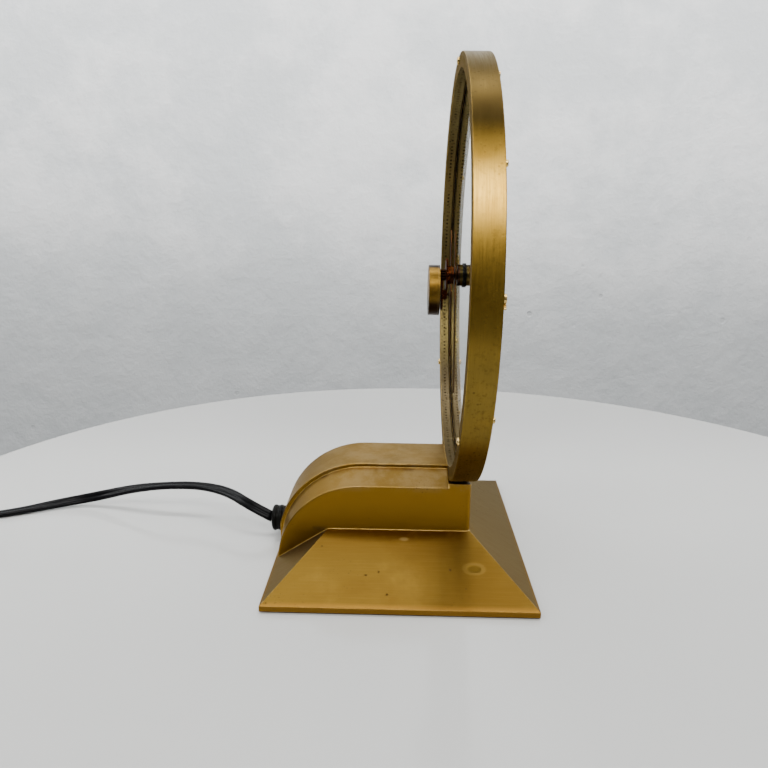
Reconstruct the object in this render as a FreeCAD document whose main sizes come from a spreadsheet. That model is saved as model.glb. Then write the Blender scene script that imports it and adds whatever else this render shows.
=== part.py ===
import FreeCAD, Part
import math
import os
import re

import Sketcher
from FreeCAD import Placement, Rotation, Vector

# Electric mystery clock: a glass disc that turns once an hour inside a brass hoop carries the
# minute hand, and a train held upright by a hanging weight drives the hour hand.
# Millimetres. X is the clock's right seen from the front, Y its back, Z up. The origin is under
# the middle of the base. The clock's front is towards -Y.

SIZES = {
    # base
    "base_width": 147.0,
    "base_depth": 116.6,
    "base_floor": 0.6,
    "lip_top": 3.0,
    "lip_corner": 1.5,
    "slope_top": 18.9,
    "slope_front": 32.3,
    "slope_back": 33.3,
    "shell_wall": 2.0,
    "slope_drop": 2.3,
    # block that stands on the slopes
    "block_width": 63.0,
    "block_front": 32.3,
    "block_corner": 2.3,
    "block_edge": 0.6,
    "tail_radius": 40.0,
    "tail_start": 17.8,
    "tail_level": 3.5,
    "edge_radius": 38.4,
    "edge_start": 18.8,
    "edge_level": 1.5,
    "ridge_width": 31.2,
    "ridge_rise": 1.9,
    "cradle_gap": 1.4,
    "cradle_top": 44.0,
    "fixing_x": 16.0,
    "gear_window": 8.2,
    # hoop
    "axis_height": 133.4,
    "hoop_radius": 95.25,
    "hoop_bore": 89.0,
    "hoop_back": 22.0,
    "hoop_width": 11.4,
    "hoop_skin": 1.2,
    "flange_skin": 0.9,
    "hoop_edge": 0.3,
    "slip": 0.03,
    # glass and its toothed rim
    "glass_radius": 90.4,
    "glass_back": 27.6,
    "glass_thick": 2.2,
    "glass_gap": 0.3,
    "rim_front": 30.7,
    "rim_teeth_width": 3.6,
    "rim_width": 5.5,
    "rim_module": 0.77,
    "rim_teeth": 240,
    "drive_teeth": 16,
    "drive_front": 29.9,
    "drive_width": 2.4,
    "drive_shaft": 1.5,
    "drive_length": 14.0,
    # hub train
    "arbor": 1.2,
    "arbor_shank": 2.0,
    "running": 0.05,
    "hub_flange": 4.9,
    "hub_washer": 5.6,
    "washer_thick": 0.8,
    "train_distance": 9.0,
    "first_module": 0.375,
    "second_module": 0.36,
    "centre_teeth": 12,
    "idler_teeth": 36,
    "idler_leaves": 10,
    "hour_teeth": 40,
    "idler_stud": 0.6,
    # hanging weight
    "weight_radius": 11.7,
    "weight_drop": 7.1,
    "weight_front": 16.3,
    "weight_thick": 5.1,
    "weight_skin": 0.7,
    # hands
    "hand_thick": 0.5,
    "minute_length": 55.0,
    "hour_length": 38.0,
    "hand_tail": 21.0,
    "minute_angle": 198.0,
    "hour_angle": 196.5,
    # hour marks
    "mark_circle": 92.3,
    "mark_radius": 1.25,
    "mark_rise": 1.1,
    "numeral_height": 5.4,
    "numeral_stroke": 0.85,
    # guides in the hoop
    "guide_circle": 92.75,
    "guide_radius": 1.25,
    "guide_screw": 0.6,
    # motor
    "gearcase_radius": 18.2,
    "gearcase_height": 21.4,
    "gearcase_front": 18.5,
    "gearcase_depth": 14.0,
    "rotor_radius": 8.4,
    "rotor_x": 9.5,
    "rotor_height": 20.0,
    "rotor_depth": 17.0,
    "case_plate": 1.2,
    "bush_radius": 2.6,
    "bracket_thick": 1.2,
    "bracket_left": 26.0,
    "core_left": 24.0,
    "limb_left": 13.5,
    "limb_right": 22.5,
    "window_low": 13.0,
    "window_high": 27.5,
    "bobbin_reach": 5.0,
    "core_front": 1.0,
    "core_thick": 10.0,
    # underside
    "cover_floor": 1.0,
    "cover_thick": 1.2,
    "cover_gap": 2.3,
    "pad_radius": 6.0,
    "post_x": 58.0,
    "post_y": 44.0,
    "post_radius": 3.2,
    "post_bore": 1.25,
    # cord
    "cord_width": 5.4,
    "cord_height": 9.5,
    "grommet_face": 64.7,
    "grommet_radius": 6.1,
    "coil_inner": 24.3,
    "coil_outer": 36.0,
    "coil_height": 11.6,
}

doc = FreeCAD.newDocument("mystery_clock")
sheet = doc.addObject("Spreadsheet::Sheet", "Sizes")
for row, (alias, value) in enumerate(SIZES.items(), start=1):
    sheet.set("A%d" % row, alias)
    sheet.set("B%d" % row, str(value))
    sheet.setAlias("B%d" % row, alias)
doc.recompute()

ALONG_Y = Rotation(Vector(1, 0, 0), -90)  # a piece's own Z along the clock's Y
FACING_X = Rotation(Vector(1, 1, 1), 120)  # a sketch's own X along the clock's Y, and its Y up
nodes = []


def bound(text):
    """The expression with each name of a size pointing at its cell."""
    return re.sub(r"[a-z_]+", lambda m: ("Sizes." if m.group() in SIZES else "") + m.group(), str(text))


def size(text):
    """The number that an expression of sizes gives."""
    found = sheet.evalExpression(bound(text))
    return float(getattr(found, "Value", found))


def bind(thing, **values):
    for name, text in values.items():
        setattr(thing, name, size(text))
        thing.setExpression(name, bound(text))
    return thing


def place(thing, x=0, y=0, z=0, turn=None):
    """Puts a piece where three expressions say."""
    thing.Placement = Placement(Vector(size(x), size(y), size(z)), turn or Rotation())
    for axis, text in (("x", x), ("y", y), ("z", z)):
        thing.setExpression("Placement.Base." + axis, bound(text))
    return thing


def node(thing, label):
    """Marks a piece as a part of the clock, in a file of that name."""
    thing.Label = label
    nodes.append(thing)
    return thing


def box(name, low, high):
    """A box between two corners, each three expressions."""
    sides = ["(%s) - (%s)" % (b, a) for a, b in zip(low, high)]
    made = bind(doc.addObject("Part::Box", name), Length=sides[0], Width=sides[1], Height=sides[2])
    return place(made, *low)


def cylinder(name, radius, length, x=0, y=0, z=0, turn=None):
    made = bind(doc.addObject("Part::Cylinder", name), Radius=radius, Height=length)
    return place(made, x, y, z, turn)


def fuse(name, *members):
    made = doc.addObject("Part::MultiFuse", name)
    made.Shapes = list(members)
    return made


def common(name, *members):
    made = doc.addObject("Part::MultiCommon", name)
    made.Shapes = list(members)
    return made


def cut(name, base, *tools):
    made = doc.addObject("Part::Cut", name)
    made.Base = base
    made.Tool = tools[0] if len(tools) == 1 else fuse(name + "_tools", *tools)
    return made


def group(name, *members):
    made = doc.addObject("Part::Compound", name)
    made.Links = list(members)
    return made


def plane(body, role):
    return next(p for p in body.Origin.OriginFeatures if p.Role == role)


def sketch_on(body, role, name):
    sketch = body.newObject("Sketcher::SketchObject", name)
    sketch.AttachmentSupport = [(plane(body, role), "")]
    sketch.MapMode = "FlatFace"
    return sketch


def tie(sketch, index, end, x=None, y=None):
    """Ties one end of a sketch's line to the sketch's origin."""
    for kind, text in (("DistanceX", x), ("DistanceY", y)):
        if text is not None:
            made = sketch.addConstraint(Sketcher.Constraint(kind, -1, 1, index, end, size(text)))
            sketch.setExpression("Constraints[%d]" % made, bound(text))


def outline(sketch, corners):
    """A closed outline of straight lines through corners, each corner two expressions."""
    points = [Vector(size(x), size(y), 0) for x, y in corners]
    following = points[1:] + points[:1]
    for start, end in zip(points, following):
        sketch.addGeometry(Part.LineSegment(start, end))
    for i, (x, y) in enumerate(corners):
        sketch.addConstraint(Sketcher.Constraint("Coincident", i, 2, (i + 1) % len(corners), 1))
        tie(sketch, i, 1, x, y)


def turned(name, corners, x=0, z="axis_height"):
    """A body turned about an axis along Y; each corner is (radius, place along Y)."""
    body = doc.addObject("PartDesign::Body", name)
    sketch = sketch_on(body, "XZ_Plane", name + "_outline")
    outline(sketch, corners)
    doc.recompute()
    turn = body.newObject("PartDesign::Revolution", name + "_turned")
    turn.Profile = sketch
    turn.ReferenceAxis = (sketch, ["V_Axis"])
    turn.Angle = 360
    body.Tip = turn
    return place(body, x, 0, z, ALONG_Y)


def padded(name, role, corners, length, midplane=False, shift=0):
    """A body padded from an outline on one of its origin planes."""
    body = doc.addObject("PartDesign::Body", name)
    sketch = sketch_on(body, role, name + "_outline")
    outline(sketch, corners)
    if shift:
        sketch.AttachmentOffset = Placement(Vector(0, 0, size(shift)), Rotation())
        sketch.setExpression(".AttachmentOffset.Base.z", bound(shift))
    doc.recompute()
    pad = body.newObject("PartDesign::Pad", name + "_pad")
    pad.Profile = sketch
    pad.Midplane = midplane
    bind(pad, Length=length)
    body.Tip = pad
    return body


def rounded(name, base, radius, chosen):
    """Rounds those edges of a piece that the test picks."""
    doc.recompute()
    made = doc.addObject("Part::Fillet", name)
    made.Base = base
    r = size(radius)
    made.Edges = [(i, r, r) for i, e in enumerate(base.Shape.Edges, start=1) if chosen(e)]
    return made


def fixed(name, shape):
    """A piece whose shape is worked out here from the sheet."""
    made = doc.addObject("Part::Feature", name)
    made.Shape = shape
    return made


def middle(edge):
    return edge.valueAt((edge.FirstParameter + edge.LastParameter) / 2)


# ---------------------------------------------------------------- base shell


def slopes(name, low, drop):
    """The four slopes as one solid, lowered by an expression."""
    made = doc.addObject("Part::Wedge", name)
    bind(
        made,
        Xmin="-base_width / 2",
        Xmax="base_width / 2",
        X2min="-block_width / 2",
        X2max="block_width / 2",
        Ymin=low,
        Ymax="slope_top - (%s)" % drop,
        Zmin="-base_depth / 2",
        Zmax="base_depth / 2",
        Z2min="-slope_back",
        Z2max="slope_front",
    )
    made.Placement = Placement(Vector(), Rotation(Vector(1, 0, 0), 90))
    return made


def side_outline(name, across, arc, front, floor):
    """The block's side outline, flat on top and rounded down to its back, in a plane across the clock.

    arc is the start along Y, the level and the radius of the round."""
    start, level, radius = arc
    sketch = place(doc.addObject("Sketcher::SketchObject", name), across, 0, 0, FACING_X)
    top = "%s + (%s)" % (level, radius)
    back = "%s + (%s)" % (start, radius)
    corners = [(back, floor), (back, level), (start, top), (front, top), (front, floor)]
    points = [Vector(size(y), size(z), 0) for y, z in corners]
    circle = Part.Circle(Vector(size(start), size(level), 0), Vector(0, 0, 1), size(radius))
    for i, point in enumerate(points):
        following = (i + 1) % len(points)
        if i == 1:
            sketch.addGeometry(Part.ArcOfCircle(circle, 0, math.pi / 2))
        else:
            sketch.addGeometry(Part.LineSegment(point, points[following]))
    for i in range(len(points)):
        sketch.addConstraint(Sketcher.Constraint("Coincident", i, 2, (i + 1) % len(points), 1))
    tie(sketch, 0, 1, back, floor)
    tie(sketch, 0, 2, y=level)
    tie(sketch, 1, 3, start, level)
    tie(sketch, 2, 1, start, top)
    tie(sketch, 3, 1, front, top)
    tie(sketch, 4, 1, front, floor)
    return sketch


def block_through(name, places, arcs, front, floor):
    """A block that runs through one side outline after another across the clock."""
    made = doc.addObject("Part::Loft", name)
    made.Sections = [
        side_outline("%s_outline_%d" % (name, i), place_x, arc, front, floor)
        for i, (place_x, arc) in enumerate(zip(places, arcs))
    ]
    made.Solid = True
    made.Ruled = True
    return made


def waterfall(name, half_width, arc, front, floor):
    """A block of one side outline all the way across."""
    return block_through(name, ("-(%s)" % half_width, half_width), (arc, arc), front, floor)


def shouldered(name, half_widths, arcs, front, floor):
    """A block level in the middle, whose shoulders fall away to a lower outline at each side."""
    inner, outer = half_widths
    middle_arc, side_arc = arcs
    return fuse(
        name,
        waterfall(name + "_middle", inner, middle_arc, front, floor),
        block_through(
            name + "_left", ("-(%s)" % outer, "-(%s)" % inner), (side_arc, middle_arc), front, floor
        ),
        block_through(name + "_right", (inner, outer), (middle_arc, side_arc), front, floor),
    )


def cradle_cutter(name, radius, back):
    """The round of the hoop's seat, as a disc that reaches forward from a plane."""
    reach = "block_front * 2"
    return cylinder(name, radius, reach, 0, "-(%s) - %s" % (back, reach), "axis_height", ALONG_Y)


lip = box(
    "lip",
    ("-base_width / 2", "-base_depth / 2", "base_floor"),
    ("base_width / 2", "base_depth / 2", "lip_top"),
)
FOOT_ARC = ("tail_start", "tail_level", "tail_radius")
RIDGE_ARC = ("tail_start", "tail_level", "tail_radius + ridge_rise")
EDGE_ARC = ("edge_start", "edge_level", "edge_radius")
ridge = waterfall("ridge", "ridge_width / 2", RIDGE_ARC, "-hoop_back", "base_floor")
RIDGE_LOW = ("-ridge_width", "-base_depth / 2", "0")
RIDGE_HIGH = ("ridge_width", "base_depth / 2", "axis_height")
outside = fuse(
    "outside",
    lip,
    slopes("slopes_outside", "lip_top", "0"),
    shouldered(
        "shoulders",
        ("ridge_width / 2", "block_width / 2"),
        (FOOT_ARC, EDGE_ARC),
        "-block_front",
        "base_floor",
    ),
    common("ridge_in_base", ridge, box("ridge_room", RIDGE_LOW, RIDGE_HIGH)),
    box(
        "cradle_block",
        ("-block_width / 2", "-block_front", "base_floor"),
        ("block_width / 2", "-hoop_back", "cradle_top"),
    ),
)
outside.Refine = True
seated = cut("seated", outside, cradle_cutter("cradle_round", "hoop_radius + cradle_gap", "hoop_back"))


def front_corner(edge):
    """The upright corners at the front of the block and the four corners of the lip."""
    point = middle(edge)
    upright = abs(edge.tangentAt(edge.FirstParameter).z) > 0.99
    at_block = abs(point.y + size("block_front")) < 0.1 and point.z > size("slope_top")
    return upright and at_block


softened = rounded("softened", seated, "block_corner", front_corner)


def top_edge(edge):
    """The long edges along both sides of the shoulders and of the ridge."""
    point = middle(edge)
    box_of_edge = edge.BoundBox
    top = box_of_edge.ZMax
    ridge_top = size("tail_level + tail_radius + ridge_rise")
    on_shoulder = abs(abs(point.x) - size("block_width / 2")) < 0.01 and top > size("slope_top + 10")
    on_ridge = abs(abs(point.x) - size("ridge_width / 2")) < 0.01 and top > ridge_top - 0.01
    across = box_of_edge.XLength < 0.01
    behind_cradle = box_of_edge.YMax > 0 and box_of_edge.YLength > 1
    return (on_shoulder or on_ridge) and across and behind_cradle


edged = rounded("edged", softened, "block_edge", top_edge)

HOLLOW_FRONT = "shell_wall - block_front"
hollow_block = shouldered(
    "hollow_block",
    ("ridge_width / 2 - shell_wall", "block_width / 2 - shell_wall"),
    [(start, level, radius + " - shell_wall") for start, level, radius in (FOOT_ARC, EDGE_ARC)],
    HOLLOW_FRONT,
    "0",
)
hollow_ridge = waterfall(
    "hollow_ridge",
    "ridge_width / 2 - shell_wall",
    ("tail_start", "tail_level", "base_depth / 2 - tail_start - shell_wall"),
    "0",
    "0",
)
cradle_ceiling = cradle_cutter(
    "cradle_ceiling", "hoop_radius + cradle_gap + shell_wall", "hoop_back - shell_wall"
)
hollow = fuse(
    "hollow",
    hollow_ridge,
    cut("hollow_under_cradle", hollow_block, cradle_ceiling),
    box(
        "hollow_mouth",
        ("shell_wall - base_width / 2", "shell_wall - base_depth / 2", "0"),
        ("base_width / 2 - shell_wall", "base_depth / 2 - shell_wall", "lip_top - slope_drop"),
    ),
    common(
        "hollow_slopes",
        slopes("slopes_inside", "lip_top - slope_drop", "slope_drop"),
        box(
            "hollow_lip",
            ("shell_wall - base_width / 2", "shell_wall - base_depth / 2", "0"),
            ("base_width / 2 - shell_wall", "base_depth / 2 - shell_wall", "slope_top"),
        ),
    ),
)


def at_corners(name, radius, height, z, x="post_x", y="post_y"):
    """Four upright cylinders, one near each corner of the base."""
    corners = [(sx, sy) for sx in (-1, 1) for sy in (-1, 1)]
    return [
        cylinder("%s_%d" % (name, i), radius, height, "%d * (%s)" % (sx, x), "%d * (%s)" % (sy, y), z)
        for i, (sx, sy) in enumerate(corners)
    ]


cover_top = "cover_floor + cover_thick"
posts = at_corners("post", "post_radius", "slope_top", cover_top)
post_holes = at_corners("post_hole", "post_bore", 7, 0)
hoop_middle = "-hoop_back - hoop_width / 2"
drive_height = "axis_height - rim_module * (rim_teeth + drive_teeth) / 2"
walls = fuse("walls", cut("skin", edged, hollow), common("posts", outside, fuse("post_bars", *posts)))
base_shell = node(
    cut(
        "base_shell_cut",
        walls,
        *post_holes,
        box(
            "gear_window",
            ("-gear_window", "shell_wall - block_front", 30),
            ("gear_window", "0.1 + shell_wall - hoop_back", 37.2),
        ),
        cylinder("grommet_hole", 3.6, 20, 0, "tail_start + tail_radius - 8", "cord_height", ALONG_Y),
        *[
            cylinder("mount_hole_%d" % (s + 1), 1.05, 8, "%d * fixing_x" % s, hoop_middle, 33)
            for s in (-1, 1)
        ],
    ),
    "base_shell",
)

# ---------------------------------------------------------------- underside

cover_plate = box(
    "cover_plate",
    ("cover_gap + shell_wall - base_width / 2", "cover_gap + shell_wall - base_depth / 2", "cover_floor"),
    ("base_width / 2 - shell_wall - cover_gap", "base_depth / 2 - shell_wall - cover_gap", cover_top),
)
cover_holes = at_corners("cover_hole", "post_bore + 0.15", 4, 0)
FLANGE_SCREWS_X = (-20.5, 1.5)
FLANGE_SCREW_Y = 4
flange_holes = [
    cylinder("flange_hole_%d" % i, 1.25, 4, x, FLANGE_SCREW_Y, 0) for i, x in enumerate(FLANGE_SCREWS_X)
]
vents = [box("vent_%d" % i, (-24, 30 + 5 * i, 0), (24, 32 + 5 * i, 4)) for i in range(3)]
node(cut("bottom_cover_cut", cover_plate, *cover_holes, *flange_holes, *vents), "bottom_cover")


def up_screw(name, x, y, head_low, head_radius, head_rise, shank, length):
    """A slotted pan-head screw whose shank points up."""
    head = cylinder(name + "_head", head_radius, head_rise, x, y, head_low)
    stem = cylinder(name + "_stem", shank, length, x, y, head_low)
    low_corner = ("(%s) - 2 * (%s)" % (x, head_radius), "(%s) - 0.3" % y, "(%s) - 1" % head_low)
    high_corner = ("(%s) + 2 * (%s)" % (x, head_radius), "(%s) + 0.3" % y, "(%s) + 0.25" % head_low)
    return cut(name, fuse(name + "_solid", head, stem), box(name + "_slot", low_corner, high_corner))


node(
    group(
        "cover_screws_group",
        *[
            up_screw(
                "cover_screw_%d_%d" % (sx + 1, sy + 1),
                "%d * post_x" % sx,
                "%d * post_y" % sy,
                head_low=0.3,
                head_radius=2.4,
                head_rise=0.7,
                shank="post_bore - 0.05",
                length=6.2,
            )
            for sx in (-1, 1)
            for sy in (-1, 1)
        ],
    ),
    "cover_screws",
)
foot_pads = at_corners("foot_pad", "pad_radius", "cover_floor", 0, "base_width / 2 - 24", "base_depth / 2 - 26")
node(
    group("foot_pads_group", *foot_pads),
    "foot_pads",
)

# ---------------------------------------------------------------- hoop

hoop_front = "-hoop_back - hoop_width"
slot_back = "glass_gap - glass_back"
slot_front = "-glass_back - glass_thick - glass_gap"
wall_inner = "hoop_radius - hoop_skin"
cup = turned(
    "rear_cup",
    [
        ("hoop_bore", "-hoop_back"),
        ("hoop_radius", "-hoop_back"),
        ("hoop_radius", hoop_front),
        (wall_inner, hoop_front),
        (wall_inner, "-hoop_back - hoop_skin"),
        ("hoop_bore + flange_skin", "-hoop_back - hoop_skin"),
        ("hoop_bore + flange_skin", slot_back),
        ("hoop_bore", slot_back),
    ],
)
cup_edged = rounded("rear_cup_edged", cup, "hoop_edge", lambda e: e.Length > size("2 * 3.14 * hoop_radius"))
GUIDE_ANGLES = (90, -38, 218)  # degrees up from the clock's right


def at_angle(angle, circle):
    """Expressions for the point at an angle on a circle about the dial's axis."""
    x = "(%s) * %.6f" % (circle, math.cos(math.radians(angle)))
    z = "axis_height + (%s) * %.6f" % (circle, math.sin(math.radians(angle)))
    return x, z


guide_holes = []
for angle in GUIDE_ANGLES:
    x, z = at_angle(angle, "guide_circle")
    hole = cylinder("guide_hole_%d" % (angle + 38), "guide_screw + slip", 3, x, "-hoop_back - 2", z, ALONG_Y)
    guide_holes.append(hole)
hoop_taps = [
    cylinder("hoop_tap_%d" % (s + 1), 0.85, 8, "%d * fixing_x" % s, hoop_middle, 36) for s in (-1, 1)
]
node(
    cut(
        "rear_cup_cut",
        cup_edged,
        box("hoop_window", (-7.2, "-rim_front + 0.1", 37), (7.2, "-26.8", 40.6)),
        *guide_holes,
        *hoop_taps,
    ),
    "ring_rear_cup",
)
bezel = turned(
    "bezel",
    [
        ("hoop_bore", hoop_front),
        (wall_inner + " - slip", hoop_front),
        (wall_inner + " - slip", hoop_front + " + hoop_skin"),
        ("hoop_bore + flange_skin", hoop_front + " + hoop_skin"),
        ("hoop_bore + flange_skin", slot_front),
        ("hoop_bore", slot_front),
    ],
)
node(bezel, "ring_front_bezel")

# Two curved pads carry the hoop on its seat, and a screw goes up through each.
pad_ring = turned(
    "pad_ring",
    [
        ("hoop_radius + slip", "-hoop_back - 2.5"),
        ("hoop_radius + cradle_gap - slip", "-hoop_back - 2.5"),
        ("hoop_radius + cradle_gap - slip", "-hoop_back - hoop_width + 2.5"),
        ("hoop_radius + slip", "-hoop_back - hoop_width + 2.5"),
    ],
)
pad_places = [
    box("pad_place_%d" % (s + 1), ("%d * fixing_x - 5" % s, -40, 30), ("%d * fixing_x + 5" % s, -20, 45))
    for s in (-1, 1)
]
pad_bores = [
    cylinder("pad_bore_%d" % (s + 1), 1.05, 12, "%d * fixing_x" % s, hoop_middle, 30) for s in (-1, 1)
]
pad_arcs = common("mount_pad_arcs", pad_ring, fuse("pad_boxes", *pad_places))
node(cut("mount_pads_cut", pad_arcs, *pad_bores), "ring_mount_pads")
ring_screws = [
    up_screw(
        "ring_screw_%d" % (s + 1),
        "%d * fixing_x" % s,
        hoop_middle,
        head_low=34.65,
        head_radius=2.0,
        head_rise=1.1,
        shank=0.8,
        length=5.75,
    )
    for s in (-1, 1)
]
node(group("ring_mount_screws_group", *ring_screws), "ring_mount_screws")



def guide_dome(edge):
    """The outer rim of a guide screw's head."""
    return edge.BoundBox.YMax > -21.1 and edge.Length > 8


guide_bushes = []
guide_screws = []
for angle in GUIDE_ANGLES:
    x, z = at_angle(angle, "guide_circle")
    tag = str(angle + 38)
    sleeve_low = "-hoop_back - hoop_skin - slip - 3.6"
    bore_low = "-hoop_back - hoop_skin - 5"
    sleeve = cylinder("sleeve_" + tag, "guide_radius", 3.6, x, sleeve_low, z, ALONG_Y)
    bore = cylinder("sleeve_bore_" + tag, "guide_screw + slip", 6, x, bore_low, z, ALONG_Y)
    guide_bushes.append(cut("guide_bush_" + tag, sleeve, bore))
    stem = cylinder("guide_stem_" + tag, "guide_screw", 4.9, x, "-hoop_back - 4.7", z, ALONG_Y)
    head = cylinder("guide_head_" + tag, 1.65, 1.0, x, "slip - hoop_back", z, ALONG_Y)
    dome = rounded("guide_dome_" + tag, head, 0.7, guide_dome)
    guide_screws.append(fuse("guide_screw_" + tag, stem, dome))
node(group("guide_bushes_group", *guide_bushes), "guide_bushes")
node(group("guide_screws_group", *guide_screws), "guide_screws")

# ---------------------------------------------------------------- hour marks

# Each numeral is bars between points of a grid one numeral high, joined by round ends.
STROKES = {
    "1": [[(0.0, 0.28), (0.18, 0.5), (0.18, -0.5)]],
    "2": [
        [(-0.26, 0.25), (-0.2, 0.42), (0.0, 0.5), (0.2, 0.42), (0.26, 0.22), (-0.26, -0.5), (0.28, -0.5)],
    ],
    "3": [
        [
            *((-0.24, 0.5), (0.26, 0.5), (0.0, 0.1), (0.22, -0.02)),
            *((0.26, -0.26), (0.12, -0.46), (-0.12, -0.5), (-0.28, -0.38)),
        ],
    ],
    "6": [
        [
            *((0.2, 0.5), (-0.14, 0.12), (-0.28, -0.2), (-0.16, -0.44), (0.04, -0.5)),
            *((0.24, -0.4), (0.28, -0.2), (0.16, -0.02), (-0.04, 0.04), (-0.24, -0.06)),
        ],
    ],
}
STROKES["9"] = [[(-x, -y) for x, y in STROKES["6"][0]]]


def stroke_solid(points, wide, rise, y):
    """Bars with round ends through points given as (x, z), standing forward from the bezel's face."""
    solids = []
    for start, end in zip(points, points[1:]):
        along = Vector(end[0] - start[0], 0, end[1] - start[1])
        bar = Part.makeBox(along.Length, rise, wide, Vector(0, -rise, -wide / 2))
        bar.Placement = Placement(Vector(start[0], y, start[1]), Rotation(Vector(1, 0, 0), along))
        solids.append(bar)
    for x, z in points:
        solids.append(Part.makeCylinder(wide / 2, rise, Vector(x, y - rise, z), Vector(0, 1, 0)))
    return solids[0].multiFuse(solids[1:]).removeSplitter()


def numeral(digits, angle):
    """Raised digits on the bezel, upright, centred at an angle up from the clock's right."""
    high = size("numeral_height")
    wide = size("numeral_stroke")
    face = size(hoop_front)
    centre_x = size("mark_circle") * math.cos(math.radians(angle))
    centre_z = size("axis_height") + size("mark_circle") * math.sin(math.radians(angle))
    step = 0.74 * high
    solids = []
    for i, digit in enumerate(digits):
        shift = (i - (len(digits) - 1) / 2) * step
        for stroke in STROKES[digit]:
            reach = high - wide
            points = [(centre_x + shift + x * reach, centre_z + z * reach) for x, z in stroke]
            solids.append(stroke_solid(points, wide, size("mark_rise"), face))
    return Part.makeCompound(solids) if len(solids) > 1 else solids[0]


for digits, angle in (("12", 90), ("3", 0), ("6", -90), ("9", 180)):
    label = "numeral_" + digits
    node(fixed(label + "_raised", numeral(digits, angle)), label)



def stud_rim(edge):
    """The outer rim of an hour stud."""
    return edge.BoundBox.YMax < size(hoop_front) - 0.9 and edge.Length > 5


stud_low = hoop_front + " - mark_rise"
studs = []
for hour in range(12):
    if hour % 3:
        x, z = at_angle(90 - 30 * hour, "mark_circle")
        stud = cylinder("stud_%d" % hour, "mark_radius", "mark_rise", x, stud_low, z, ALONG_Y)
        studs.append(rounded("hour_stud_%d" % hour, stud, 0.5, stud_rim))
node(group("hour_studs_group", *studs), "hour_studs")

# ---------------------------------------------------------------- gears

PRESSURE = math.radians(20)
BACKLASH = 0.05


def involute(angle):
    return math.tan(angle) - angle


def gear_face(teeth, module, gap_at, steps):
    """The outline of a spur gear as a face, with a gap or a tooth centred on the angle gap_at.

    steps says how many straight pieces make each flank."""
    pitch = module * teeth / 2
    tip = pitch + module
    root = pitch - 1.25 * module
    base_circle = pitch * math.cos(PRESSURE)
    low = max(root, base_circle)
    corners = []
    for tooth in range(teeth):
        centre = gap_at + 2 * math.pi * tooth / teeth
        flank = []
        for i in range(steps + 1):
            radius = low + (tip - low) * i / steps
            lean = involute(math.acos(min(1, base_circle / radius))) - involute(PRESSURE)
            flank.append((radius, (math.pi / 2 - BACKLASH / module) / teeth - lean))
        if root < low:
            flank.insert(0, (root, flank[0][1]))
        for radius, half in flank:
            corners.append(Vector(radius * math.cos(centre - half), radius * math.sin(centre - half), 0))
        for radius, half in reversed(flank):
            corners.append(Vector(radius * math.cos(centre + half), radius * math.sin(centre + half), 0))
    return Part.Face(Part.makePolygon(corners + corners[:1]))


DOWN = math.pi / 2  # a piece's own +Y points down once it lies along the clock's Y
UP = -math.pi / 2


def gear(teeth, module, aim, low, high, steps=4):
    """A toothed disc between two places along Y; aim is the angle of the middle of one tooth."""
    face = gear_face(int(size(teeth)), size(module), aim, steps)
    solid = face.extrude(Vector(0, 0, size(high) - size(low)))
    solid.translate(Vector(0, 0, size(low)))
    return solid


def rod(radius, low, high):
    return Part.makeCylinder(size(radius), size(high) - size(low), Vector(0, 0, size(low)))


def on_axis(name, shape, x=0, z="axis_height"):
    return place(fixed(name, shape), x, 0, z, ALONG_Y)


HALF_RIM_TOOTH = math.pi / size("rim_teeth")
rim_root = "rim_module * (rim_teeth / 2 - 1.25)"
rim = gear("rim_teeth", "rim_module", DOWN + HALF_RIM_TOOTH, "-rim_front", "-rim_front + rim_teeth_width", 1)
rim = rim.fuse(rod(rim_root, "-rim_front", "-rim_front + rim_width"))
rim = rim.cut(rod("glass_radius + slip", "-rim_front - 1", "-rim_front + rim_width + 1")).removeSplitter()
node(on_axis("rim", rim), "ring_gear")
node(
    turned(
        "glass",
        [
            ("arbor_shank + running", "-glass_back"),
            ("glass_radius", "-glass_back"),
            ("glass_radius", "-glass_back - glass_thick"),
            ("arbor_shank + running", "-glass_back - glass_thick"),
        ],
    ),
    "glass_disc",
)

drive = gear("drive_teeth", "rim_module", UP, "-drive_front", "-drive_front + drive_width")
drive = drive.cut(rod("drive_shaft + 0.01", "-drive_front - 1", "0"))
node(on_axis("drive", drive, 0, drive_height), "drive_gear")
node(
    cylinder("shaft", "drive_shaft", "drive_length", 0, "-drive_front", drive_height, ALONG_Y),
    "drive_shaft",
)

# ---------------------------------------------------------------- hub

node(
    turned(
        "arbor_body",
        [
            ("0", -32.2),
            ("arbor_shank", -32.2),
            ("arbor_shank", -25.6),
            ("hub_flange", -25.6),
            ("hub_flange", -24.5),
            (2.4, -24.5),
            (2.4, -23.8),
            ("arbor", -23.8),
            ("arbor", -13.4),
            ("0", -13.4),
        ],
    ),
    "minute_arbor",
)


def ring_piece(name, bore, radius, low, high, x=0, z="axis_height"):
    return turned(name, [(bore, low), (radius, low), (radius, high), (bore, high)], x, z)


hub_bore = "arbor_shank + slip"
glass_front = "-glass_back - glass_thick"
cap_back = glass_front + " - washer_thick"
collar_front = "washer_thick - glass_back"
rear_washer = ring_piece("rear_washer_body", hub_bore, "hub_washer", "-glass_back", collar_front)
front_washer = ring_piece("front_washer_body", hub_bore, "hub_washer", cap_back, glass_front)
node(rear_washer, "hub_rear_washer")
node(ring_piece("collar_body", hub_bore, "hub_flange", collar_front, "-25.6"), "hub_collar")
node(front_washer, "hub_front_washer")
node(
    turned(
        "cap_body",
        [
            ("arbor_shank + slip", cap_back),
            ("hub_flange", cap_back),
            ("hub_flange", cap_back + " - 1.4"),
            ("hub_flange - 0.8", cap_back + " - 2.2"),
            ("0", cap_back + " - 2.7"),
            ("0", "-32.3"),
            ("arbor_shank + slip", "-32.3"),
        ],
    ),
    "hub_cap_nut",
)

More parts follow.
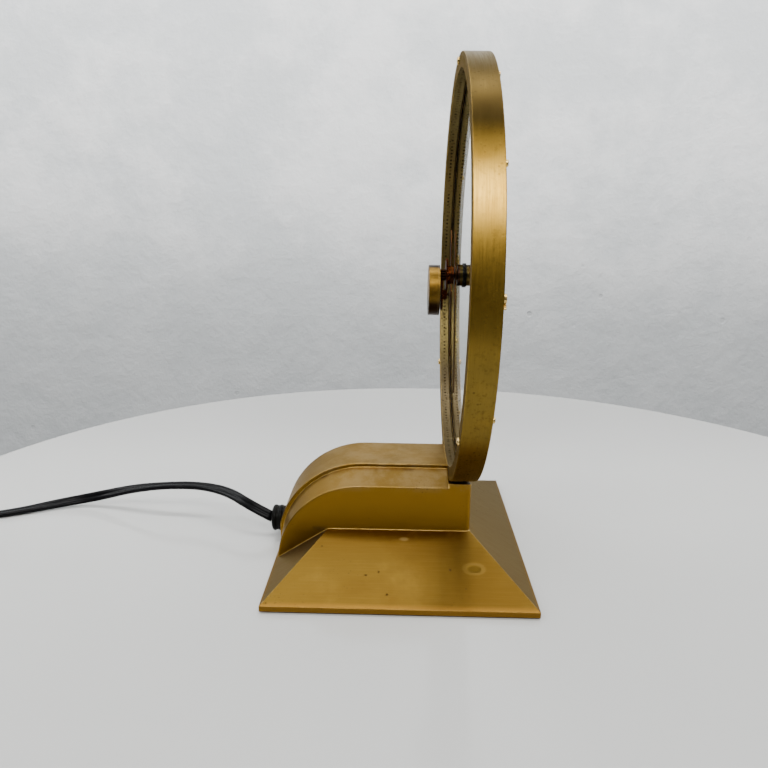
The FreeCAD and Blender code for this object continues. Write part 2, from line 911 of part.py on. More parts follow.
pinion = gear("centre_teeth", "first_module", DOWN, "-19.0", "-16.5")
node(on_axis("pinion", pinion.cut(rod("arbor + 0.01", "-20", "-15"))), "centre_pinion")
node(ring_piece("clip_body", "arbor + 0.01", 2.4, -14.9, -14.4), "arbor_clip")

HALF_HOUR_TOOTH = math.pi / size("hour_teeth")
hour = gear("hour_teeth", "second_module", DOWN + HALF_HOUR_TOOTH, "-20.0", "-19.1")
hour = hour.fuse(rod(4.2, "-22.7", "-20.0")).cut(rod("arbor + running", "-30", "-10"))
node(on_axis("hour_wheel_body", hour), "hour_wheel")

HALF_IDLER_TOOTH = math.pi / size("idler_teeth")
idler = gear("idler_teeth", "first_module", UP + HALF_IDLER_TOOTH, "-17.9", "-17.0")
idler = idler.fuse(gear("idler_leaves", "second_module", UP, "-20.0", "-17.9"))
idler = idler.cut(rod("idler_stud + running", "-30", "-10"))
node(on_axis("idler_body", idler, 0, "axis_height - train_distance"), "idler_wheel")

# ---------------------------------------------------------------- hanging weight

weight_centre = "axis_height - weight_drop"
idler_height = "axis_height - train_distance"
weight_back = "weight_thick - weight_front"
plate_back = "0.8 - weight_front"
node(
    cut(
        "weight_plate_cut",
        cylinder("weight_plate_disc", "weight_radius", 0.8, 0, "-weight_front", weight_centre, ALONG_Y),
        cylinder("weight_bore", "arbor + running", 4, 0, "-weight_front - 1", "axis_height", ALONG_Y),
        cylinder("stud_seat", "idler_stud + 0.01", 4, 0, "-weight_front - 1", idler_height, ALONG_Y),
    ),
    "weight_plate",
)


def can_rim(edge):
    """The can's back edge."""
    return edge.BoundBox.YMin > size(weight_back) - 0.01 and edge.Length > 60


can = turned(
    "can",
    [
        ("0", weight_back),
        ("weight_radius", weight_back),
        ("weight_radius", plate_back),
        ("weight_radius - weight_skin", plate_back),
        ("weight_radius - weight_skin", weight_back + " - weight_skin"),
        ("0", weight_back + " - weight_skin"),
    ],
    0,
    weight_centre,
)
node(rounded("can_edged", can, 0.35, can_rim), "weight_can")
slug_disc = cylinder(
    "slug_disc",
    "weight_radius - weight_skin - slip",
    "weight_thick - 0.8 - weight_skin - 2 * slip",
    0,
    plate_back + " + slip",
    weight_centre,
    ALONG_Y,
)
slug_clear = box("slug_clear", (-20, -20, "axis_height - 3.5"), (20, 0, "axis_height + 20"))
stud_clear = cylinder("stud_clear", 1.2, 1.2, 0, plate_back, idler_height, ALONG_Y)
node(cut("weight_slug_cut", slug_disc, slug_clear, stud_clear), "weight_slug")
node(
    turned(
        "stud_body",
        [
            ("0", -20.9),
            (1.0, -20.9),
            (1.0, -20.45),
            ("idler_stud", -20.45),
            ("idler_stud", -15.0),
            ("0", -15.0),
        ],
        0,
        idler_height,
    ),
    "idler_stud",
)

# ---------------------------------------------------------------- hands


def hand(name, low, hub_radius, bore, length, angle, widths):
    """A pointed blade, a tail the other way and a hub disc; angle is clockwise from twelve."""
    neck, wide, tail_wide = widths
    corners = [
        (neck / 2, 0),
        (wide / 2, "(%s) * 0.22" % length),
        (0.25, length),
        (-0.25, length),
        (-wide / 2, "(%s) * 0.22" % length),
        (-neck / 2, 0),
        (-tail_wide / 2, "-hand_tail * 0.72"),
        (-tail_wide * 0.3, "-hand_tail"),
        (tail_wide * 0.3, "-hand_tail"),
        (tail_wide / 2, "-hand_tail * 0.72"),
    ]
    blade = padded(name + "_blade", "XZ_Plane", corners, "hand_thick", False, "-(%s)" % low)
    hub = cylinder(name + "_hub", hub_radius, "hand_thick", 0, low + " - hand_thick", 0, ALONG_Y)
    hole = cylinder(name + "_hole", bore, 4, 0, low + " - 2", 0, ALONG_Y)
    made = cut(name, fuse(name + "_solid", blade, hub), hole)
    return place(made, 0, 0, "axis_height", Rotation(Vector(0, 1, 0), size(angle)))


minute_hand = hand(
    "minute_hand_cut",
    low="-23.25",
    hub_radius=5.1,
    bore="arbor + 0.01",
    length="minute_length",
    angle="minute_angle",
    widths=(2.2, 4.2, 3.0),
)
hour_hand = hand(
    "hour_hand_cut",
    low="-21.3",
    hub_radius=5.0,
    bore="4.2 + 0.01",
    length="hour_length",
    angle="hour_angle",
    widths=(3.0, 5.2, 3.4),
)
node(minute_hand, "minute_hand")
node(hour_hand, "hour_hand")

# ---------------------------------------------------------------- motor

case_back = "gearcase_depth - gearcase_front"
case_front = "case_plate - gearcase_front"


def gearcase_disc(name, radius, depth, y):
    return cylinder(name, radius, depth, 0, y, "gearcase_height", ALONG_Y)


case_disc = gearcase_disc("case_plate_disc", "gearcase_radius + 0.5", "case_plate", "-gearcase_front")
case_bore = cylinder("case_bore", "bush_radius", 4, 0, "-gearcase_front - 1", drive_height, ALONG_Y)
node(cut("gearcase_plate_cut", case_disc, case_bore), "gearcase_front_plate")
case_solid = gearcase_disc("case_solid", "gearcase_radius", "gearcase_depth - case_plate", case_front)
case_room = gearcase_disc("case_room", "gearcase_radius - 1", "gearcase_depth - case_plate - 1", case_front)
node(cut("gearcase_can_cut", case_solid, case_room), "gearcase_can")
output_bush = ring_piece(
    "bush_body",
    "drive_shaft + running",
    "bush_radius - 0.01",
    "-gearcase_front - 1.2",
    "-gearcase_front + 3.5",
    0,
    drive_height,
)
node(output_bush, "output_bush")
bracket_back = case_back + " + bracket_thick"
rotor_shell = cylinder(
    "rotor_shell",
    "rotor_radius",
    "rotor_depth - bracket_thick",
    "-rotor_x",
    bracket_back,
    "rotor_height",
    ALONG_Y,
)
node(rotor_shell, "rotor_housing")

# The core is a plate with a hole for the rotor at one end and a window beside the limb that the coil is on.
core_back = "core_front + core_thick"
core_plate = box("core_plate", ("-core_left", "core_front", 6.5), ("limb_right", core_back, 34))
core_rotor = cylinder("core_rotor_hole", "rotor_radius + 0.1", 30, "-rotor_x", -5, "rotor_height", ALONG_Y)
core_window = box("core_window", (3, -5, "window_low"), ("limb_left", 30, "window_high"))
node(cut("core_cut", core_plate, core_rotor, core_window), "motor_core")


def round_limb(name, apart, low, high):
    """A block round the coil's limb, standing off it by a distance."""
    return box(
        name,
        ("limb_left - (%s)" % apart, "core_front - (%s)" % apart, low),
        ("limb_right + (%s)" % apart, core_back + " + (%s)" % apart, high),
    )


def winding_corner(edge):
    """The upright outer corners of the winding."""
    point = middle(edge)
    away_x = abs(point.x - size("(limb_left + limb_right) / 2"))
    away_y = abs(point.y - size("core_front + core_thick / 2"))
    return edge.BoundBox.ZLength > 10 and away_x > 8 and away_y > 8


bobbin_low = "window_low + 0.1"
bobbin_high = "window_high - 0.1"
bobbin = fuse(
    "bobbin_solid",
    round_limb("bobbin_tube", 1.1, bobbin_low, bobbin_high),
    round_limb("bobbin_flange_0", "bobbin_reach", bobbin_low, bobbin_low + " + 1"),
    round_limb("bobbin_flange_1", "bobbin_reach", bobbin_high + " - 1", bobbin_high),
)
node(cut("bobbin_cut", bobbin, round_limb("limb_hole", 0.05, 0, 40)), "coil_bobbin")
winding = cut(
    "winding_square",
    round_limb("winding_solid", "bobbin_reach - 0.6", bobbin_low + " + 1.05", bobbin_high + " - 1.05"),
    round_limb("winding_room", 1.15, 10, 30),
)
node(rounded("winding_rounded", winding, 3.0, winding_corner), "coil_winding")

bracket_plate = box("bracket_plate", ("-bracket_left", case_back, 2.25), (7, bracket_back, 34))
bracket_foot = box(
    "bracket_foot",
    ("-bracket_left", bracket_back, "0.05 + cover_floor + cover_thick"),
    (7, 9, "1.25 + cover_floor + cover_thick"),
)
bracket_holes = [
    cylinder("bracket_tap_%d" % i, 0.95, 6, x, FLANGE_SCREW_Y, 1) for i, x in enumerate(FLANGE_SCREWS_X)
]
node(cut("bracket_cut", fuse("bracket_solid", bracket_plate, bracket_foot), *bracket_holes), "motor_bracket")
node(
    group(
        "bracket_screws_group",
        *[
            up_screw("bracket_screw_%d" % i, x, FLANGE_SCREW_Y, 0.35, 2.2, 0.65, 0.9, 4.0)
            for i, x in enumerate(FLANGE_SCREWS_X)
        ],
    ),
    "bracket_screws",
)

# ---------------------------------------------------------------- cord


def tube(points, radius, label):
    """A round tube along straight runs joined by tangent arcs as large as the runs allow."""
    points = [Vector(*p) for p in points]
    edges = []
    last = points[0]
    radii = []
    for before, corner, after in zip(points, points[1:], points[2:]):
        into = (corner - before).normalize()
        out = (after - corner).normalize()
        turn = into.getAngle(out)
        reach = 0.45 * min((corner - before).Length, (after - corner).Length)
        radii.append(reach / math.tan(turn / 2))
        start = corner - into * reach
        end = corner + out * reach
        bow = (out - into).normalize()
        sagitta = radii[-1] * (1 / math.cos(turn / 2) - 1)
        edges.append(Part.LineSegment(last, start).toShape())
        edges.append(Part.Arc(start, corner + bow * sagitta, end).toShape())
        last = end
    edges.append(Part.LineSegment(last, points[-1]).toShape())
    path = Part.Wire(edges)
    ring = Part.Wire(Part.Circle(points[0], points[1] - points[0], radius).toShape())
    solid = path.makePipeShell([ring], True, False)
    share = solid.Volume / (math.pi * radius**2 * path.Length)
    facts = (label, path.Length, min(radii), share)
    print("%s: %.1f mm long, smallest radius %.1f mm, volume share %.4f" % facts)
    return solid


CORD_ROUTE = [
    (0.0, 64.7, 9.5),
    (1.0, 76.0, 15.0),
    (13.0, 90.0, 17.5),
    (23.5, 108.0, 16.4),
    (23.0, 127.0, 16.2),
    (27.5, 147.0, 12.0),
    (31.5, 168.0, 5.4),
    (28.0, 187.0, 2.9),
    (18.5, 203.5, 2.8),
    (10.5, 220.5, 3.0),
    (1.0, 236.5, 2.8),
    (-10.5, 252.6, 2.8),
]
COIL_CENTRE = (-38.0, 234.7)
cord_radius = size("cord_width / 2")
node(fixed("cord_tube_swept", tube(CORD_ROUTE, cord_radius, "cord_tube")), "cord_tube")
coil_disc = cylinder("coil_disc", "coil_outer", "coil_height", *COIL_CENTRE, 0)
coil_hole = cylinder("coil_hole", "coil_inner", "coil_height", *COIL_CENTRE, 0)
node(cut("cord_coil_cut", coil_disc, coil_hole), "cord_coil")

grommet_profile = turned(
    "grommet_profile",
    [
        (0, "grommet_face - 14"),
        (3.1, "grommet_face - 14"),
        (3.5, "grommet_face - 7"),
        (3.5, "base_depth / 2"),
        ("grommet_radius", "base_depth / 2"),
        ("grommet_radius", "grommet_face"),
        (0, "grommet_face"),
    ],
    0,
    "cord_height",
)


def grommet_rim(edge):
    """The grommet's outer edge, on the cord's side."""
    return edge.BoundBox.YMin > size("grommet_face") - 0.01 and edge.Length > 30


node(rounded("grommet_edged", grommet_profile, 1.4, grommet_rim), "cord_grommet")

SPLICE = [(-3.4, 44.0), (3.4, 44.0)]  # where each lead joins the cord, (x, y)
SPLICE_LONG = 9.0
splice_caps = [
    cylinder("splice_%d" % i, 2.6, SPLICE_LONG, x, y - SPLICE_LONG, "cord_height", ALONG_Y)
    for i, (x, y) in enumerate(SPLICE)
]
node(group("splice_caps_group", *splice_caps), "splice_caps")
tail_box = box("cord_tail_box", (-2.7, "44.05", 8.15), (2.7, "grommet_face - 14.05", 10.85))
node(rounded("cord_tail_rounded", tail_box, 1.2, lambda e: e.BoundBox.YLength > 4), "cord_inner_end")
LEAD_ROUTES = [
    [(-3.4, 34.5, 9.5), (-3.4, 30.0, 9.5), (5.0, 22.5, 12.5), (14.5, 19.5, 20.0), (16.5, 16.3, 23.0)],
    [(3.4, 34.5, 9.5), (4.5, 30.5, 9.5), (11.0, 25.5, 11.5), (20.5, 21.5, 15.5), (23.5, 16.3, 18.0)],
]
leads = [tube(route, 0.8, "lead") for route in LEAD_ROUTES]
node(fixed("leads", Part.makeCompound(leads)), "coil_leads")

# Two-pin plug, lying across the top of the coil.
PLUG_AT = (COIL_CENTRE[0] - 9.0, COIL_CENTRE[1] + 25.0)
PLUG_LOW = size("coil_height") + 0.2
PLUG_LONG = 30.0
PLUG_WIDE = 19.0
PLUG_THICK = 11.0
plug_body = box(
    "plug_block",
    (PLUG_AT[0] - PLUG_LONG / 2, PLUG_AT[1] - PLUG_WIDE / 2, PLUG_LOW),
    (PLUG_AT[0] + PLUG_LONG / 2, PLUG_AT[1] + PLUG_WIDE / 2, PLUG_LOW + PLUG_THICK),
)
plug_pins = [
    box(
        "pin_%d" % (s + 1),
        (PLUG_AT[0] - PLUG_LONG / 2 - 17, PLUG_AT[1] + 6.3 * s - 0.75, PLUG_LOW + 2.4),
        (PLUG_AT[0] - PLUG_LONG / 2, PLUG_AT[1] + 6.3 * s + 0.75, PLUG_LOW + 8.6),
    )
    for s in (-1, 1)
]
node(rounded("plug_rounded", plug_body, 2.5, lambda e: e.BoundBox.XLength > 20), "plug_body")
node(group("plug_pins_group", *plug_pins), "plug_pins")

# ---------------------------------------------------------------- writing

doc.recompute()
failed = [o.Label for o in doc.Objects if "Invalid" in o.State or "Error" in o.State]
for piece in nodes:
    if piece.Shape.isNull() or not piece.Shape.isValid() or not piece.Shape.Solids:
        failed.append(piece.Label)
if failed:
    raise SystemExit("these failed: " + ", ".join(failed))
os.makedirs("parts", exist_ok=True)
for piece in nodes:
    piece.Shape.exportStep("parts/%s.step" % piece.Label)
print("%d pieces written" % len(nodes))
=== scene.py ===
import math

import bmesh
import bpy
from mathutils import Matrix, Vector


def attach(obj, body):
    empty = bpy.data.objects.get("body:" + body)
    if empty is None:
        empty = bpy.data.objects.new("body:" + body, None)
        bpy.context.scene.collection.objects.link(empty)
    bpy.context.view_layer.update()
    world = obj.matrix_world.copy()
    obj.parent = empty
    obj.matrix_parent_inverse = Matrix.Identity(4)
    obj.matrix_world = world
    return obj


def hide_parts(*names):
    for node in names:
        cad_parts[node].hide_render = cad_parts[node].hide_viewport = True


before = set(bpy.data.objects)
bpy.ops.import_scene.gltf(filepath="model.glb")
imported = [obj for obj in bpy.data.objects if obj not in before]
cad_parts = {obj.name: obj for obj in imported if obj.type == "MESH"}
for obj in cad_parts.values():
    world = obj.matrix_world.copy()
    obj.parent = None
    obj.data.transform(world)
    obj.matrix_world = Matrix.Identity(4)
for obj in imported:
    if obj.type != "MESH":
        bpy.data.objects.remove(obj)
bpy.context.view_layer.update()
MM = 0.001
FULL_TURN = 2 * math.pi
AXIS = Vector((0, 0, 0.1334))  # where the hands' arbor crosses the middle plane


def add_object(name, data):
    made = bpy.data.objects.new(name, data)
    bpy.context.scene.collection.objects.link(made)
    return made


# ------------------------------------------------------------------ camera

CAMERA_PLACE = Vector((-0.34207, 0.00214, 0.16615))
CAMERA_YAW = 0.01998
CAMERA_PITCH = 0.24532
CAMERA_ROLL = 0.01273
CAMERA_LENS = 34.098


def make_camera():
    """The viewpoint: beside the clock, level with the hub and tipped down."""
    level = Vector((math.cos(CAMERA_YAW), math.sin(CAMERA_YAW), 0))
    side = Vector((math.sin(CAMERA_YAW), -math.cos(CAMERA_YAW), 0))
    ahead = level * math.cos(CAMERA_PITCH) - Vector((0, 0, math.sin(CAMERA_PITCH)))
    above = level * math.sin(CAMERA_PITCH) + Vector((0, 0, math.cos(CAMERA_PITCH)))
    right = side * math.cos(CAMERA_ROLL) + above * math.sin(CAMERA_ROLL)
    up = above * math.cos(CAMERA_ROLL) - side * math.sin(CAMERA_ROLL)
    data = bpy.data.cameras.new("camera")
    data.lens = CAMERA_LENS
    data.sensor_width = 36
    data.clip_start = 0.01
    camera = add_object("camera", data)
    turn = Matrix((right, up, -ahead)).transposed().to_4x4()
    camera.matrix_world = Matrix.Translation(CAMERA_PLACE) @ turn
    bpy.context.scene.camera = camera


make_camera()

# ------------------------------------------------------------------ cord

CORD_WIDTH = 5.4
CORD_THICK = 2.7
CORD_EXIT = (0, 0.0647, 0.0095)
# From the grommet to the coil, in millimetres, with the lead's lean in degrees from lying flat.
CORD_ROUTE = [
    (0.0, 64.7, 9.5, 55),
    (1.0, 76.0, 15.0, 50),
    (13.0, 90.0, 17.5, 35),
    (23.5, 108.0, 16.4, 15),
    (23.0, 127.0, 16.2, 10),
    (27.5, 147.0, 12.0, 30),
    (31.5, 168.0, 5.4, 60),
    (28.0, 187.0, 2.6, 35),
    (18.5, 203.5, 1.9, 5),
    (10.5, 220.5, 1.6, 0),
    (1.0, 236.5, 1.4, 0),
    (-10.5, 252.6, 1.4, 0),
]
COIL_CENTRE = (-38.0, 234.7)
COIL_RADII = (32.8, 27.0)  # of the outer and the inner column of turns
COIL_COLUMNS = (0, 1, 1, 0)
COIL_FROM = math.atan2(17.9, 27.5)
COIL_TURNS = 8
COIL_STEPS = 14
COIL_RISE = 2.85
COIL_WANDER = 0.25
TAIL_ARC = 25.0  # the radius on which the lead turns in from the coil to the plug that lies on it
TAIL_MIDDLE = 7.8
TAIL_RISE = [(20, 10.6), (45, 12.9), (70, 14.9)]
TAIL_END = [(7.8, 16.6), (1.0, 17.3)]


def smooth(blend):
    blend = max(0.0, min(1.0, blend))
    return blend * blend * (3 - 2 * blend)


def coil_points():
    """The coil's turns: out and in by turns, one layer on another, neat but not perfect."""
    points = []
    whole_turns = COIL_TURNS - COIL_FROM / FULL_TURN
    steps = int(whole_turns * COIL_STEPS)
    for step in range(1, steps + 1):
        turns = step / steps * whole_turns
        whole = int(turns)
        before = max(whole - 1, 0)
        ease = smooth((turns - whole) * 5)
        start, end = COIL_RADII[COIL_COLUMNS[before % 4]], COIL_RADII[COIL_COLUMNS[whole % 4]]
        radius = start + (end - start) * ease + COIL_WANDER * math.sin(turns * 2.3 * math.pi)
        layer = before // 2 + (whole // 2 - before // 2) * ease
        angle = COIL_FROM + FULL_TURN * turns
        x = COIL_CENTRE[0] + radius * math.cos(angle)
        y = COIL_CENTRE[1] + radius * math.sin(angle)
        points.append((x, y, CORD_THICK / 2 + 0.1 + layer * COIL_RISE, 0))
    return points


def tail_points():
    """From the coil's last turn up and in to the plug that lies across it."""
    arc = [
        (TAIL_MIDDLE + TAIL_ARC * math.cos(math.radians(a)), TAIL_ARC * math.sin(math.radians(a)), z)
        for a, z in TAIL_RISE
    ]
    straight = [(x, TAIL_ARC, z) for x, z in TAIL_END]
    return [(COIL_CENTRE[0] + x, COIL_CENTRE[1] + y, z, 0) for x, y, z in arc + straight]


def smooth_line(points, resolution):
    """The points of a smooth spline that has these control points."""
    data = bpy.data.curves.new("route", "CURVE")
    data.dimensions = "3D"
    data.resolution_u = resolution
    spline = data.splines.new("NURBS")
    spline.points.add(len(points) - 1)
    for point, place in zip(spline.points, points):
        point.co = (*place, 1)
    spline.order_u = 3
    spline.use_endpoint_u = True
    route = bpy.data.objects.new("route", data)
    mesh = bpy.data.meshes.new_from_object(route)
    line = [v.co.copy() for v in mesh.vertices]
    bpy.data.objects.remove(route)
    bpy.data.meshes.remove(mesh)
    return line


def twin_section():
    """The flat lead's section: two round cores side by side with a groove between."""
    half = CORD_THICK / 2
    centre = CORD_WIDTH / 2 - half
    right = [math.radians(-64 + 16 * i) for i in range(9)]
    outline = [(centre + half * math.cos(a), half * math.sin(a)) for a in right]
    outline += [(0.42, half * 0.74), (0.0, half * 0.6), (-0.42, half * 0.74)]
    outline += [(-centre - half * math.cos(a), -half * math.sin(a)) for a in right]
    outline += [(-0.42, -half * 0.74), (0.0, -half * 0.6), (0.42, -half * 0.74)]
    return outline


def tube_mesh(name, line, section, leans):
    """A closed tube of that section along a line, level across except where it leans."""
    shape = bmesh.new()
    rings = []
    for i, place in enumerate(line):
        ahead = (line[min(i + 1, len(line) - 1)] - line[max(i - 1, 0)]).normalized()
        across = ahead.cross(Vector((0, 0, 1))).normalized()
        upward = across.cross(ahead)
        lean = leans[i]
        wide = across * math.cos(lean) + upward * math.sin(lean)
        high = upward * math.cos(lean) - across * math.sin(lean)
        rings.append([shape.verts.new(place + wide * x + high * y) for x, y in section])
    count = len(section)
    for ring, after in zip(rings, rings[1:]):
        for i in range(count):
            j = (i + 1) % count
            shape.faces.new((ring[i], ring[j], after[j], after[i]))
    shape.faces.new(list(reversed(rings[0])))
    shape.faces.new(rings[-1])
    bmesh.ops.recalc_face_normals(shape, faces=shape.faces)
    for face in shape.faces:
        face.smooth = len(face.verts) == 4
    mesh = bpy.data.meshes.new(name)
    shape.to_mesh(mesh)
    shape.free()
    return mesh


def make_cord():
    """The whole mains lead as one smooth line: visible arch, put-away coil and tail into the plug."""
    points = CORD_ROUTE + coil_points() + tail_points()
    line = smooth_line([Vector(p[:3]) * MM for p in points], 8)
    leans = []
    for i in range(len(line)):
        at = i / (len(line) - 1) * (len(points) - 2) + 0.5
        low = min(int(at), len(points) - 2)
        part = at - low
        leans.append(math.radians(points[low][3] * (1 - part) + points[low + 1][3] * part))
    section = [(x * MM, y * MM) for x, y in twin_section()]
    cord = add_object("mains_lead", tube_mesh("mains_lead", line, section, leans))
    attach(cord, "root")
    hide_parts("cord_tube", "cord_coil")


make_cord()

BEAD_PLACES = (0.0603, 0.0632)  # along the lead
BEAD_RADIUS = 0.0058
BEAD_WIDE = 0.0011
BEAD_HIGH = 0.0007
BEAD_STEPS = 64
BEAD_SIDES = 16


def grommet_beads():
    """Two rounded beads moulded round the grommet."""
    shape = bmesh.new()
    for place in BEAD_PLACES:
        ring = []
        for i in range(BEAD_STEPS):
            turn = FULL_TURN * i / BEAD_STEPS
            out = Vector((math.cos(turn), 0, math.sin(turn)))
            loop = []
            for j in range(BEAD_SIDES):
                angle = FULL_TURN * j / BEAD_SIDES
                middle = Vector((0, place + BEAD_WIDE * math.sin(angle), CORD_EXIT[2]))
                loop.append(shape.verts.new(middle + out * (BEAD_RADIUS + BEAD_HIGH * math.cos(angle))))
            ring.append(loop)
        for i in range(BEAD_STEPS):
            after = ring[(i + 1) % BEAD_STEPS]
            for j in range(BEAD_SIDES):
                k = (j + 1) % BEAD_SIDES
                face = shape.faces.new((ring[i][j], ring[i][k], after[k], after[j]))
                face.smooth = True
    bmesh.ops.recalc_face_normals(shape, faces=shape.faces)
    mesh = bpy.data.meshes.new("grommet_beads")
    shape.to_mesh(mesh)
    shape.free()
    beads = add_object("grommet_beads", mesh)
    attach(beads, "root")


grommet_beads()

# ------------------------------------------------------------------ material nodes


class Nodes:
    """A material's nodes, added and linked by short calls.

    A value is a number, a tuple or another socket, and a place is in metres from the object's origin.
    """

    def __init__(self, name):
        self.material = bpy.data.materials.new(name)
        self.material.use_nodes = True
        self.tree = self.material.node_tree
        self.shader = self.tree.nodes["Principled BSDF"]
        self.place = self.add("ShaderNodeTexCoord").outputs["Object"]

    def add(self, kind, **values):
        node = self.tree.nodes.new(kind)
        for key, value in values.items():
            setattr(node, key, value)
        return node

    def give(self, node, **inputs):
        for key, value in inputs.items():
            self.feed(node.inputs[key.replace("_", " ")], value)
        return node

    def feed(self, socket, value):
        if isinstance(value, bpy.types.NodeSocket):
            self.tree.links.new(value, socket)
        elif isinstance(value, tuple) and len(value) == 3 and socket.type == "RGBA":
            socket.default_value = (*value, 1)
        else:
            socket.default_value = value

    def set(self, **inputs):
        self.give(self.shader, **inputs)

    def maths(self, operation, a, b=0.5, clamp=False):
        node = self.add("ShaderNodeMath", operation=operation, use_clamp=clamp)
        self.feed(node.inputs[0], a)
        self.feed(node.inputs[1], b)
        return node.outputs[0]

    def times(self, a, b):
        return self.maths("MULTIPLY", a, b)

    def plus(self, a, b):
        return self.maths("ADD", a, b)

    def minus(self, a, b, clamp=False):
        return self.maths("SUBTRACT", a, b, clamp)

    def most(self, a, b):
        return self.maths("MAXIMUM", a, b)

    def unsigned(self, value):
        return self.maths("ABSOLUTE", value)

    def rest_of(self, share):
        return self.minus(1.0, share)

    def stretched(self, scale, turn=(0, 0, 0)):
        node = self.add("ShaderNodeMapping")
        self.give(node, Vector=self.place, Scale=scale, Rotation=turn)
        return node.outputs[0]

    def noise(self, scale, detail=4.0, where=None, roughness=0.55, distortion=0.0):
        node = self.add("ShaderNodeTexNoise")
        self.give(node, Vector=where or self.place, Scale=scale, Detail=detail)
        self.give(node, Roughness=roughness, Distortion=distortion)
        return node.outputs[0]

    def cells(self, scale):
        """How far a point is from the nearest of many scattered points, in cells."""
        node = self.add("ShaderNodeTexVoronoi")
        self.give(node, Vector=self.place, Scale=scale)
        return node.outputs["Distance"]

    def between(self, value, low, high, out_low=0.0, out_high=1.0):
        node = self.add("ShaderNodeMapRange", interpolation_type="SMOOTHSTEP")
        self.feed(node.inputs["Value"], value)
        self.give(node, From_Min=low, From_Max=high, To_Min=out_low, To_Max=out_high)
        return node.outputs[0]

    def mix(self, share, a, b):
        node = self.add("ShaderNodeMix", data_type="RGBA")
        self.feed(node.inputs["Factor"], share)
        self.feed(node.inputs[6], a)
        self.feed(node.inputs[7], b)
        return node.outputs[2]

    def axis(self, name, where=None):
        node = self.add("ShaderNodeSeparateXYZ")
        self.feed(node.inputs[0], where or self.place)
        return node.outputs[name]

    def distance(self, point, flat=None, squash=1.0):
        """Metres from a point. Flat names an axis to leave out, and squash then multiplies X."""
        where = self.place
        if flat:
            keep = tuple(0.0 if axis == flat else squash if axis == "X" else 1.0 for axis in "XYZ")
            node = self.add("ShaderNodeVectorMath", operation="MULTIPLY")
            self.feed(node.inputs[0], where)
            self.feed(node.inputs[1], keep)
            where = node.outputs[0]
            point = tuple(k * p for k, p in zip(keep, point))
        node = self.add("ShaderNodeVectorMath", operation="DISTANCE")
        self.feed(node.inputs[0], where)
        self.feed(node.inputs[1], tuple(point))
        return node.outputs["Value"]

    def edges(self, radius, low=0.012, high=0.16):
        """Where the surface turns sharply within that many metres: 1 on an edge, 0 away from it."""
        bevel = self.add("ShaderNodeBevel", samples=6)
        self.feed(bevel.inputs["Radius"], radius)
        plain = self.add("ShaderNodeNewGeometry").outputs["Normal"]
        dot = self.add("ShaderNodeVectorMath", operation="DOT_PRODUCT")
        self.feed(dot.inputs[0], bevel.outputs[0])
        self.feed(dot.inputs[1], plain)
        return self.between(self.rest_of(dot.outputs["Value"]), low, high)

    def rounded(self, radius):
        bevel = self.add("ShaderNodeBevel", samples=6)
        self.feed(bevel.inputs["Radius"], radius)
        return bevel.outputs[0]

    def bump(self, height, strength, depth, normal=None):
        node = self.add("ShaderNodeBump")
        self.give(node, Height=height, Strength=strength, Distance=depth)
        if normal:
            self.feed(node.inputs["Normal"], normal)
        return node.outputs[0]


def finish_with(material, *names):
    """Gives a CAD piece or a new piece this material."""
    for name in names:
        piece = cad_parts.get(name) or bpy.data.objects[name]
        piece.data.materials.clear()
        piece.data.materials.append(material)


# ------------------------------------------------------------------ gold of the base

# the colour of rubbed edges: partly wear, partly a painted highlight
RUBBED_AND_HIGHLIT_GOLD = (0.72, 0.47, 0.14)
GOLD_SHEEN = (0.85, 0.78, 0.64, 1)
SIDE_DENT = (-0.0524, -0.0325, 0.0)
SIDE_OVAL = (-0.0368, -0.0018, 0.0)
BASE_SPOTS = [
    (-0.0418, 0.0352),
    (-0.0569, 0.0146),
    (-0.055, 0.0091),
    (-0.0665, 0.0053),
    (-0.0532, -0.022),
]
RIDGE_HALF = 0.0156
BLOCK_HALF = 0.0315
SLOPE_TOP = 0.0195
LIP_TOP = 0.0036


